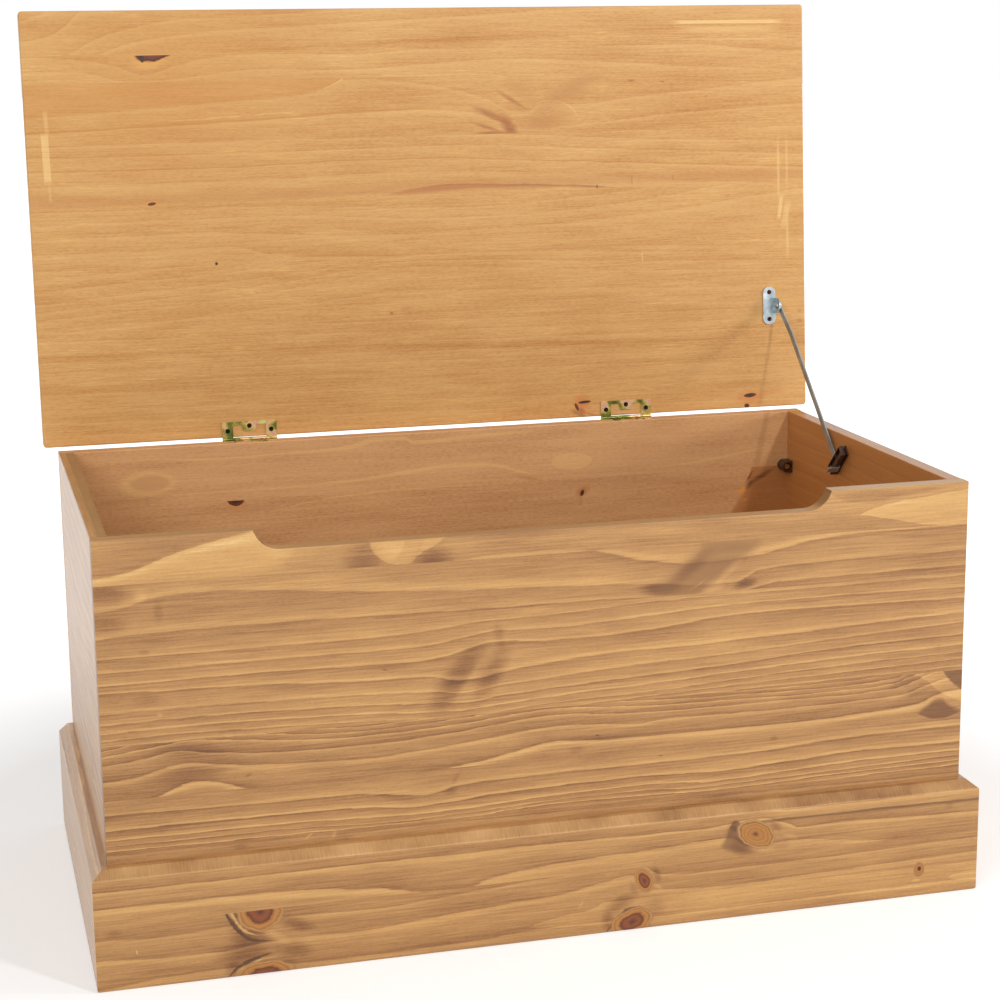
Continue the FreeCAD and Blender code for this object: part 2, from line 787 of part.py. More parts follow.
def lid_leaf(side_name, centre):
    """The outer leaf, under the lid: a frame with a window, a tab in it and two end knuckles."""
    half = size("hinge_length") / 2
    window = size("window_length") / 2
    low = LID_UNDERSIDE - size("leaf_thickness")
    thick = size("leaf_thickness")
    reach = PIN_Y - size("lid_leaf_reach")
    sheet = plate(centre - half, centre + half, reach, PIN_Y, low, thick)
    window_end = PIN_Y - size("window_reach")
    window_back = PIN_Y + size("knuckle_radius") + OVERCUT
    opening = plate(
        centre - window, centre + window, window_end, window_back, low - OVERCUT, thick + 2 * OVERCUT
    )
    root = size("tab_root_width") / 2
    tip = size("tab_width") / 2
    tab_end = PIN_Y - size("tab_reach")
    tab_start = window_end - OVERCUT
    tab_points = [
        Vector(centre - root, tab_start, low), Vector(centre + root, tab_start, low),
        Vector(centre + tip, tab_end, low), Vector(centre - tip, tab_end, low),
    ]
    tab = Part.Face(Part.makePolygon(tab_points + tab_points[:1])).extrude(Vector(0, 0, thick))
    knuckles = [
        along_x(size("knuckle_radius"), centre - half, centre - window, PIN_Y, PIN_Z),
        along_x(size("knuckle_radius"), centre + window, centre + half, PIN_Y, PIN_Z),
    ]
    bore = along_x(size("hinge_pin_radius"), centre - half, centre + half, PIN_Y, PIN_Z)
    seats = [driven(hinge_screw_form(), *place) for place in lid_leaf_screw_places(centre)]
    shape = sheet.cut(opening).fuse([tab] + knuckles).cut([bore] + seats).removeSplitter()
    label = f"hinge_{side_name}_lid_leaf"
    leaf = add_shape(label, shape)
    leaf.Placement = LID_POSE
    keep(label, leaf)
    pin_label = f"hinge_{side_name}_pin"
    pin = add_shape(pin_label, bore)
    pin.Placement = LID_POSE
    keep(pin_label, pin)


def rim_leaf(side_name, centre):
    """The inner leaf, on the rim. It nests in the lid leaf's window and turns on the pin."""
    play = size("nesting_play")
    half = size("window_length") / 2 - play
    low = size("rim_height")
    thick = size("leaf_thickness")
    reach = PIN_Y - size("window_reach") + play
    sheet = plate(centre - half, centre + half, reach, PIN_Y, low, thick)
    notch = size("tab_root_width") / 2 + play
    notch_end = PIN_Y - size("tab_reach") + play
    opening = plate(
        centre - notch, centre + notch, reach - OVERCUT, notch_end, low - OVERCUT,
        thick + 2 * OVERCUT,
    )
    knuckle = along_x(size("knuckle_radius"), centre - half, centre + half, PIN_Y, PIN_Z)
    bore_radius = size("hinge_pin_radius") + size("running_clearance")
    bore = along_x(bore_radius, centre - half, centre + half, PIN_Y, PIN_Z)
    seats = [driven(hinge_screw_form(), *place) for place in rim_leaf_screw_places(centre)]
    shape = sheet.cut(opening).fuse(knuckle).cut([bore] + seats).removeSplitter()
    label = f"hinge_{side_name}_rim_leaf"
    keep(label, add_shape(label, shape))


# Lid stay. The bracket and the rivet are on the lid, the bar turns on the rivet, and the guide turns
# on a screw in the right side panel. X places run from the bracket's ear to the panel.

EAR_RIGHT = size("width") / 2 - size("board") - size("bracket_side_gap")
EAR_LEFT = EAR_RIGHT - size("bracket_thickness")
BAR_LEFT = EAR_RIGHT + size("washer_thickness") + size("bar_play")
BRACKET_Y = BACK - size("bracket_reach")
RIVET_Z = LID_UNDERSIDE - size("rivet_height")
GUIDE_Y = BACK - size("guide_back")
GUIDE_Z = size("rim_height") - size("guide_drop")


def rivet_place(degrees=size("open_angle")):
    """The rivet with the lid open at an angle."""
    back, high = opened(BRACKET_Y - PIN_Y, RIVET_Z - PIN_Z, degrees)
    return PIN_Y + back, PIN_Z + high


def bar_line(degrees):
    """The bar's slope under the level, and its length to the guide, with the lid open at an angle.
    It passes the guide's screw at its offset."""
    rivet_y, rivet_z = rivet_place(degrees)
    run = rivet_y - GUIDE_Y
    fall = rivet_z - GUIDE_Z
    distance = math.hypot(run, fall)
    offset = size("guide_bar_offset")
    slope = math.degrees(math.atan2(fall, run) - math.asin(offset / distance))
    return slope, math.sqrt(distance**2 - offset**2)


BAR_SLOPE, BAR_TO_GUIDE = bar_line(size("open_angle"))
GUIDE_TRAVEL = bar_line(0)[0] - BAR_SLOPE
TILT = math.radians(size("guide_tilt"))


def guide_front_reach():
    """How far past the guide's screw its tilted front side reaches, along the bar."""
    far_edge = size("guide_bar_offset") + size("bar_width") / 2
    return (size("guide_width") / 2 + far_edge * math.sin(TILT)) / math.cos(TILT)


BAR_REACH = BAR_TO_GUIDE + guide_front_reach() + size("guide_play")


def stay_bracket():
    """A stadium plate under the lid, with a round ear bent down at its right edge."""
    thick = size("bracket_thickness")
    wide = size("bracket_width")
    low = LID_UNDERSIDE - thick
    left = EAR_RIGHT - wide
    middle_x = EAR_RIGHT - wide / 2
    half = (size("bracket_length") - wide) / 2
    straight = plate(left, EAR_RIGHT, BRACKET_Y - half, BRACKET_Y + half, low, thick)
    ends = [
        Part.makeCylinder(wide / 2, thick, Vector(middle_x, BRACKET_Y + step, low))
        for step in (-half, half)
    ]
    ear_radius = size("ear_length") / 2
    ear_centre = LID_UNDERSIDE - size("ear_height") + ear_radius
    ear_round = along_x(ear_radius, EAR_LEFT, EAR_RIGHT, BRACKET_Y, ear_centre)
    ear_root = Part.makeBox(
        thick, 2 * ear_radius, LID_UNDERSIDE - ear_centre,
        Vector(EAR_LEFT, BRACKET_Y - ear_radius, ear_centre),
    )
    rivet_radius = size("rivet_radius")
    bore = along_x(rivet_radius, EAR_LEFT - OVERCUT, EAR_RIGHT + OVERCUT, BRACKET_Y, RIVET_Z)
    seats = [driven(hinge_screw_form(), *place) for place in bracket_screw_places()]
    shape = straight.fuse(ends + [ear_round, ear_root]).cut([bore] + seats).removeSplitter()
    bracket = add_shape("stay_bracket", shape)
    bracket.Placement = LID_POSE
    keep("stay_bracket", bracket)


def bracket_screw_places():
    low = LID_UNDERSIDE - size("bracket_thickness")
    middle_x = EAR_RIGHT - size("bracket_width") / 2
    half = size("bracket_hole_pitch") / 2
    return [(Vector(middle_x, BRACKET_Y + step, low), UPWARD) for step in (-half, half)]


def stay_rivet():
    """A domed rivet through the ear, the washer and the bar, and the washer."""
    radius = size("rivet_radius")
    tail_start = BAR_LEFT + size("bar_thickness") + size("bar_play")
    shank = along_x(radius, EAR_LEFT, tail_start, BRACKET_Y, RIVET_Z)
    head_height = size("rivet_head_height")
    dome_radius = (size("rivet_head_radius") ** 2 + head_height**2) / (2 * head_height)
    dome_centre = Vector(EAR_LEFT - head_height + dome_radius, BRACKET_Y, RIVET_Z)
    ball = Part.makeSphere(dome_radius, dome_centre)
    cap_start = EAR_LEFT - head_height - OVERCUT
    cap = along_x(2 * dome_radius, cap_start, EAR_LEFT, BRACKET_Y, RIVET_Z)
    head = ball.common(cap)
    tail_end = tail_start + size("rivet_tail_height")
    tail = along_x(size("rivet_tail_radius"), tail_start, tail_end, BRACKET_Y, RIVET_Z)
    rivet = add_shape("stay_rivet", shank.fuse([head, tail]).removeSplitter())
    rivet.Placement = LID_POSE
    keep("stay_rivet", rivet)
    ring_end = EAR_RIGHT + size("washer_thickness")
    ring = along_x(size("washer_radius"), EAR_RIGHT, ring_end, BRACKET_Y, RIVET_Z)
    hole = along_x(radius, EAR_RIGHT, ring_end, BRACKET_Y, RIVET_Z)
    washer = add_shape("stay_washer", ring.cut(hole))
    washer.Placement = LID_POSE
    keep("stay_washer", washer)


def stay_bar():
    """A flat bar with an eye, a small set towards the side panel and a bent stop at its end.
    It is made level, pointing ahead from its eye, and then turned down."""
    thick = size("bar_thickness")
    shift = size("bar_set")
    tab = shift + thick - size("bar_tab")
    points = [
        (0, 0), (0, -size("bar_set_start")), (shift, -size("bar_set_end")), (shift, -BAR_REACH),
        (tab, -BAR_REACH), (tab, -BAR_REACH - thick), (shift + thick, -BAR_REACH - thick),
        (shift + thick, -size("bar_set_end")), (thick, -size("bar_set_start")), (thick, 0),
    ]
    half = size("bar_width") / 2
    corners = [Vector(x, y, -half) for x, y in points]
    strip = Part.Face(Part.makePolygon(corners + corners[:1])).extrude(Vector(0, 0, 2 * half))
    bend_place = Vector(shift + thick, -BAR_REACH - thick, 0)
    bend = [edge for edge in strip.Edges if middle(edge).isEqual(bend_place, FINE)]
    strip = strip.makeFillet(size("bar_bend_radius"), bend)
    eye = along_x(size("bar_eye_radius"), 0, thick, 0, 0)
    bore_radius = size("rivet_radius") + size("running_clearance")
    bore = along_x(bore_radius, -OVERCUT, thick + OVERCUT, 0, 0)
    bar = add_shape("stay_bar", strip.fuse(eye).cut(bore).removeSplitter())
    bar.Placement = Placement(Vector(BAR_LEFT, *rivet_place()), Rotation(RIGHTWARD, BAR_SLOPE))
    keep("stay_bar", bar)


def guide_well_floor():
    """How far the screw head's seat lies inside the guide, from the panel."""
    return size("guide_play") + size("guide_thickness") - size("guide_pocket_depth")


def stay_guide():
    """A moulded fork over the bar, which runs in the slot between its two walls. It leans a little
    past square to the bar. Pockets in its face lighten it."""
    face = -size("guide_play") - size("guide_thickness")
    half = size("guide_width") / 2
    heel = size("guide_heel")
    tip = size("guide_length") - heel
    block = Part.makeBox(
        size("guide_thickness"), 2 * half, size("guide_length"), Vector(face, -half, -heel)
    )
    face_edges = [edge for edge in block.Edges if same(middle(edge).x, face)]
    block = block.makeFillet(size("guide_round"), face_edges)
    near_edge = size("guide_bar_offset") - size("bar_width") / 2
    slot_low = near_edge * math.cos(TILT) - guide_front_reach() * math.sin(TILT) - size("guide_play")
    slot = Part.makeBox(
        size("guide_slot"), 2 * (half + OVERCUT), tip - slot_low + OVERCUT,
        Vector(face + size("guide_front_wall"), -half - OVERCUT, slot_low),
    )
    rim = size("guide_rim")
    depth = size("guide_pocket_depth")
    rib_low = size("guide_rib_place") - size("guide_rib") / 2
    rib_high = size("guide_rib_place") + size("guide_rib") / 2
    lower = Part.makeBox(depth, half, rib_low, Vector(face, -rim, 0))
    upper = Part.makeBox(depth, half, tip - rim - rib_high, Vector(face, -rim, rib_high))
    well_radius = size("guide_screw_head_radius") + size("guide_play")
    well = along_x(well_radius, face, face + depth, 0, 0)
    bore_radius = size("guide_screw_radius") + size("running_clearance")
    bore = along_x(bore_radius, face, OVERCUT, 0, 0)
    guide = add_shape("stay_guide", block.cut([slot, lower, upper, well, bore]).removeSplitter())
    turn = Rotation(RIGHTWARD, BAR_SLOPE + size("guide_tilt"))
    guide.Placement = Placement(Vector(INNER_SIDE, GUIDE_Y, GUIDE_Z), turn)
    keep("stay_guide", guide)


def stay_guide_screw():
    """The screw that the guide turns on. Its head stays just clear of the guide's well."""
    length = guide_well_floor() + size("guide_screw_grip")
    head = size("guide_screw_head_height")
    solid = cheese_head(size("guide_screw_head_radius"), head, size("guide_screw_radius"), length)
    recess = cross_recess(size("guide_screw_head_radius"), -head)
    start = INNER_SIDE - guide_well_floor() - size("bar_play")
    places = [(Vector(start, GUIDE_Y, GUIDE_Z), RIGHTWARD)]
    return fastener_group("stay_guide_screw", solid, recess, places)


def build():
    dowel_seats = dowels()
    plinth_seats = plinth_screws()
    batten_seats = batten_screws()
    connectors = [connector(*place) for place in connector_places()]
    connector_seats = connector_screws()
    guide_seat = stay_guide_screw()
    hinge_recess = cross_recess(size("hinge_screw_head_radius"), 0)
    lid_places = []
    rim_places = []
    for _, centre in hinge_centres():
        lid_places += lid_leaf_screw_places(centre)
        rim_places += rim_leaf_screw_places(centre)
    rim_seats = fastener_group("hinge_rim_screws", hinge_screw_form(), hinge_recess, rim_places)
    lid_seats = fastener_group(
        "hinge_lid_screws", hinge_screw_form(), hinge_recess, lid_places, LID_POSE
    )
    bracket_seats = fastener_group(
        "stay_bracket_screws", hinge_screw_form(), hinge_recess, bracket_screw_places(), LID_POSE
    )
    front, back, left, right = carcass_boards()
    seated("front_panel", front, [dowel_seats, plinth_seats, batten_seats, connector_seats])
    seated("back_panel", back, [dowel_seats, batten_seats, connector_seats, rim_seats])
    seated("left_side_panel", left, [dowel_seats, plinth_seats, batten_seats] + connectors)
    right_tools = [dowel_seats, plinth_seats, batten_seats, guide_seat] + connectors
    seated("right_side_panel", right, right_tools)
    battens(batten_seats)
    base_panel()
    plinth_front(plinth_seats)
    for side_name, side in SIDES:
        plinth_side(side_name, side, plinth_seats)
    seated("lid_panel", lid_board(), [lid_seats, bracket_seats], LID_POSE)
    for side_name, centre in hinge_centres():
        lid_leaf(side_name, centre)
        rim_leaf(side_name, centre)
    stay_bracket()
    stay_rivet()
    stay_bar()
    stay_guide()


def check():
    """Stops if any object failed, or any sub-part has no sound shape."""
    DOC.recompute()
    for thing in DOC.Objects:
        if "Invalid" in thing.State or "Error" in thing.State:
            raise ValueError(f"{thing.Name} failed: {thing.State}")
    for part in PARTS:
        if part.Shape.isNull() or not part.Shape.isValid():
            raise ValueError(f"{part.Label} has no sound shape")


def write():
    os.makedirs("parts", exist_ok=True)
    for part in PARTS:
        part.Shape.exportStep(f"parts/{part.Label}.step")
        box = part.Shape.BoundBox
        low = f"{box.XMin:.1f} {box.YMin:.1f} {box.ZMin:.1f}"
        high = f"{box.XMax:.1f} {box.YMax:.1f} {box.ZMax:.1f}"
        solids = len(part.Shape.Solids)
        print(f"{part.Label}: {solids} solids, {part.Shape.Volume:.0f} mm3, {low} to {high}")


def report_joints():
    """The joints' places and travels, as the record gives them."""
    rivet_y, rivet_z = rivet_place()
    bar_travel = GUIDE_TRAVEL - size("open_angle")
    print(f"lid hinge at y {PIN_Y:.3f}, z {PIN_Z:.3f}, travel {size('open_angle'):.2f}")
    print(f"bar pivot at x {BAR_LEFT:.3f}, y {rivet_y:.3f}, z {rivet_z:.3f}, travel {bar_travel:.2f}")
    print(f"bar ratio {bar_travel / size('open_angle'):.6f}")
    print(f"guide pivot at x {INNER_SIDE:.3f}, y {GUIDE_Y:.3f}, z {GUIDE_Z:.3f}")
    print(f"guide travel {GUIDE_TRAVEL:.2f}, ratio {GUIDE_TRAVEL / size('open_angle'):.6f}")


build()
check()
write()
report_joints()
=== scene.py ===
import json
import math
from collections import namedtuple

import bpy
from mathutils import Matrix, Vector


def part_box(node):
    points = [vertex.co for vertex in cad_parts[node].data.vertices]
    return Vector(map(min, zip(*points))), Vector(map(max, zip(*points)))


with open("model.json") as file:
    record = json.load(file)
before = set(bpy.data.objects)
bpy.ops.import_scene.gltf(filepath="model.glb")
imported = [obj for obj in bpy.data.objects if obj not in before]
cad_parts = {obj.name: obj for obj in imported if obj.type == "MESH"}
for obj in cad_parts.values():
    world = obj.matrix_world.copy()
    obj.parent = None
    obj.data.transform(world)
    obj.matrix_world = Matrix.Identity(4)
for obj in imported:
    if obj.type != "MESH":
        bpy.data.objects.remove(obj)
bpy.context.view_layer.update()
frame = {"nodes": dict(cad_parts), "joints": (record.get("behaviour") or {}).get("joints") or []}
NODES = frame["nodes"]

# The trunk stands in the CAD's frame, in metres. Materials work in millimetres on the boards' own
# planes: along the grain, across it, and into the board.
MM = 1000.0
FRONT_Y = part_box("front_panel")[0].y
BACK_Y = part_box("back_panel")[1].y
PLINTH_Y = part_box("plinth_front")[0].y
HALF_WIDTH = 0.45
HALF_HEIGHT = 0.45

# Rings are drawn as lines along a board. A line's ends are given this far from the middle, and the
# curves that hold the lines reach a little further.
LINE_END = 460
CURVE_END = 470.0


def srgb(red, green, blue):
    """A colour as it is seen, from 0 to 255, as the linear colour that a shader takes."""
    def linear(value):
        share = value / 255
        return share / 12.92 if share <= 0.04045 else ((share + 0.055) / 1.055) ** 2.4
    return (linear(red), linear(green), linear(blue), 1.0)


def shades(*stops):
    """A ramp's stops: places from 0 to 1, each with a colour as it is seen."""
    return [(place, srgb(*colour)) for place, *colour in stops]


class Number:
    """A value that a material works out at each point. Arithmetic on it adds math nodes."""

    def __init__(self, graph, socket):
        self.graph = graph
        self.socket = socket

    def __add__(self, other):
        return self.graph.math("ADD", self, other)

    def __sub__(self, other):
        return self.graph.math("SUBTRACT", self, other)

    def __rsub__(self, other):
        return self.graph.math("SUBTRACT", other, self)

    def __mul__(self, other):
        return self.graph.math("MULTIPLY", self, other)


class Graph:
    """The node tree of a material or of the world, with its shader."""

    def __init__(self, owner, shader="BSDF_PRINCIPLED"):
        owner.use_nodes = True
        self.owner = owner
        self.tree = owner.node_tree
        self.shader = next(node for node in self.tree.nodes if node.type == shader)

    def node(self, kind, inputs=None, **settings):
        """A new node with its settings, and its inputs fed by name or number."""
        made = self.tree.nodes.new(kind)
        for key, value in settings.items():
            setattr(made, key, value)
        for key, value in (inputs or {}).items():
            self.feed(made.inputs[key], value)
        return made

    def feed(self, socket, value):
        """Links a value to a socket, or writes a constant on it."""
        if isinstance(value, Number):
            self.tree.links.new(value.socket, socket)
        elif isinstance(value, bpy.types.NodeSocket):
            self.tree.links.new(value, socket)
        else:
            socket.default_value = value

    def number(self, kind, inputs, output=0, **settings):
        """A new node's result."""
        return Number(self, self.node(kind, inputs, **settings).outputs[output])

    def math(self, operation, *values):
        return self.number("ShaderNodeMath", dict(enumerate(values)), operation=operation)

    def split(self, vector):
        parts = self.node("ShaderNodeSeparateXYZ", {0: vector})
        return [Number(self, socket) for socket in parts.outputs]

    def own_place(self):
        """The point's place in the CAD's frame at rest, in metres."""
        return self.node("ShaderNodeTexCoord").outputs["Object"]

    def places(self):
        """The same in millimetres, along each axis."""
        made = self.node("ShaderNodeVectorMath", {0: self.own_place(), "Scale": MM}, operation="SCALE")
        return self.split(made.outputs[0])

    def facing(self):
        """How far the surface faces to a side, from 0 to 1, and up, from -1 to 1."""
        x, _, z = self.split(self.node("ShaderNodeTexCoord").outputs["Normal"])
        return self.math("ABSOLUTE", x), z

    def vector(self, x, y, z=0.0):
        return self.node("ShaderNodeCombineXYZ", {0: x, 1: y, 2: z}).outputs[0]

    def length(self, vector):
        return self.number("ShaderNodeVectorMath", {0: vector}, "Value", operation="LENGTH")

    def noise(self, vector, scale=1.0, detail=2.0, roughness=0.5):
        """Noise round 0, mostly from -0.3 to 0.3."""
        return self.number("ShaderNodeTexNoise", {
            "Vector": vector, "Scale": scale, "Detail": detail, "Roughness": roughness,
        }) - 0.5

    def random(self, vector):
        return self.number("ShaderNodeTexWhiteNoise", {"Vector": vector}, noise_dimensions="3D")

    def spread(self, value, start, end, low, high, **settings):
        """Goes evenly from low at start to high at end, and stays there."""
        return self.number("ShaderNodeMapRange", {
            "Value": value, "From Min": start, "From Max": end, "To Min": low, "To Max": high,
        }, **settings)

    def fade(self, value, start, end, low=0.0, high=1.0):
        """The same, but smoothly, and start may be the higher one."""
        if start > end:
            start, end, low, high = end, start, high, low
        return self.spread(value, start, end, low, high, interpolation_type="SMOOTHSTEP")

    def distance(self, vector, centre, radii, tilt=0.0, square=False):
        """The distance from an ellipse's or a rectangle's centre, 1 on its edge. Tilt is in degrees."""
        made = self.node("ShaderNodeMapping", {
            "Vector": vector, "Location": (*centre, 0), "Rotation": (0, 0, math.radians(tilt)),
            "Scale": (*radii, 1),
        }, vector_type="TEXTURE")
        if not square:
            return self.length(made.outputs[0])
        sides = [self.math("ABSOLUTE", side) for side in self.split(made.outputs[0])[:2]]
        return self.math("MAXIMUM", *sides)

    def ramp(self, value, stops):
        """A colour for a value from 0 to 1."""
        made = self.node("ShaderNodeValToRGB", {0: value})
        elements = made.color_ramp.elements
        while len(elements) < len(stops):
            elements.new(1.0)
        for element, (place, colour) in zip(elements, stops):
            element.position = place
            element.color = colour
        return made.outputs[0]

    def level(self, value, stops):
        """A number for a value from 0 to 1."""
        return Number(self, self.ramp(value, [(place, (high, high, high, 1)) for place, high in stops]))

    def trace(self, share, points, low, high):
        """A line drawn along a board: its height at each place, as a share between two heights."""
        made = self.node("ShaderNodeFloatCurve", {"Value": share})
        made.mapping.extend = "HORIZONTAL"
        curve = made.mapping.curves[0]
        places = [
            ((along + CURVE_END) / (2 * CURVE_END), (height - low) / (high - low))
            for along, height in points
        ]
        curve.points[0].location = places[0]
        curve.points[-1].location = places[-1]
        for place in places[1:-1]:
            curve.points.new(*place)
        for point in curve.points:
            point.handle_type = "AUTO_CLAMPED"
        made.mapping.update()
        return Number(self, made.outputs[0])

    def blend(self, factor, first, second):
        return self.node("ShaderNodeMix", {0: factor, 6: first, 7: second}, data_type="RGBA").outputs[2]

    def bump(self, height, depth):
        """Relief from a height, in millimetres."""
        made = self.node("ShaderNodeBump", {"Distance": depth / MM, "Strength": 1.0, "Height": height})
        self.feed(self.shader.inputs["Normal"], made.outputs[0])

    def surface(self, **values):
        """Sets the shader's sockets, named with underscores for spaces."""
        for name, value in values.items():
            self.feed(self.shader.inputs[name.replace("_", " ")], value)
        return self.owner


def material(name):
    return Graph(bpy.data.materials.new(name))


# Pine. Each panel is glued up from boards. A board's growth rings lie between lines that are drawn
# along it: going up, the wood is dark above each line and brightens up to the next one.

HONEY = shades(
    (0.0, 116, 74, 42), (0.2, 152, 104, 60), (0.5, 190, 141, 86), (0.72, 212, 162, 99),
    (0.88, 223, 177, 111), (1.0, 238, 198, 138),
)
WARM = shades(
    (0.0, 142, 80, 34), (0.25, 192, 130, 62), (0.5, 213, 159, 93), (0.75, 226, 178, 112),
    (1.0, 250, 214, 142),
)
INNER = shades(
    (0.0, 150, 96, 58), (0.25, 198, 142, 92), (0.5, 219, 166, 112), (0.75, 230, 180, 124),
    (1.0, 246, 204, 146),
)
FLECK = (244, 192, 108)

# A knot's colours run from its middle to its rim at 0.8, and over the pale line round it.
TAN_KNOT = shades(
    (0.0, 84, 50, 34), (0.08, 112, 66, 36), (0.2, 172, 112, 52), (0.32, 182, 124, 60),
    (0.38, 166, 108, 50), (0.5, 188, 130, 64), (0.56, 170, 112, 54), (0.7, 186, 128, 64),
    (0.77, 140, 90, 44), (0.84, 196, 148, 90), (0.93, 158, 114, 70), (1.0, 184, 138, 88),
)
RED_KNOT = shades(
    (0.0, 60, 36, 26), (0.06, 104, 54, 32), (0.3, 142, 78, 40), (0.42, 128, 66, 34), (0.5, 96, 54, 30),
    (0.57, 170, 108, 50), (0.68, 192, 132, 66), (0.77, 160, 106, 54), (0.84, 192, 142, 84),
    (0.93, 156, 110, 66), (1.0, 180, 134, 84),
)
DARK_KNOT = shades(
    (0.0, 50, 27, 18), (0.3, 70, 36, 22), (0.6, 104, 54, 30), (0.78, 88, 46, 26), (0.88, 200, 140, 72),
    (1.0, 214, 160, 96),
)
BARK_KNOT = shades(
    (0.0, 66, 28, 14), (0.4, 120, 58, 26), (0.66, 84, 38, 18), (0.77, 70, 34, 18), (0.86, 206, 140, 66),
    (1.0, 230, 172, 92),
)
BLACK_BARK = shades((0.0, 48, 26, 16), (0.8, 66, 34, 20), (1.0, 98, 50, 26))

# The tone across one ring, as it goes up, and the mean that it is counted from.
RING_TONES = (
    (0.0, 0.2), (0.06, 0.0), (0.18, 0.24), (0.5, 0.4), (0.78, 0.56), (0.92, 1.0), (1.0, 0.75),
)
RING_MEAN = 0.44


# One glued board, up to its top edge. Tone and contrast are its mean colour and the rings' depth. A
# line is the number of rings up to the next line, its heights at the left and the right end, and
# places between them. A negative number turns the rings over. A board without lines has rings at a
# pitch, which rise along it by the slope.
Board = namedtuple("Board", "top tone contrast pitch slope start lines", defaults=(12.0, 0.0, 0.0, ()))

# A place where the rings are pushed up by so many millimetres.
Swell = namedtuple("Swell", "centre radii lift")

# A knot. Pull draws the rings together round it, and cut is the height of two seams.
Knot = namedtuple("Knot", "centre radii tilt colours pull cut", defaults=(0.0, TAN_KNOT, 0.0, None))

# A paler, darker or tinted place, with its middle and its radii. Soft is the share of its radius over
# which it fades.
Stain = namedtuple(
    "Stain", "along across long high amount tilt soft tint cut square",
    defaults=(0.0, 0.9, None, None, False),
)

# A paler, darker or tinted place between two drawn lines, with edges so many millimetres soft. A
# broken one shows in streaks.
Band = namedtuple(
    "Band", "amount upper lower soft cut tint broken", defaults=((0.8, 0.8), None, None, False),
)


def stains(*rows, **shared):
    """Stains from a row of values for each, and what they share."""
    return [Stain(*row, **shared) for row in rows]


def strip(amount, places, *rest, **others):
    """A band from places along it, each with the heights of its upper and its lower line."""
    upper = [(along, top) for along, top, bottom in places]
    lower = [(along, bottom) for along, top, bottom in places]
    return Band(amount, upper, lower, *rest, **others)


def points(line):
    """A ring line's places, from the board's left end to its right end."""
    rings, left, right, *places = line
    return [(-LINE_END, left), *places, (LINE_END, right)]


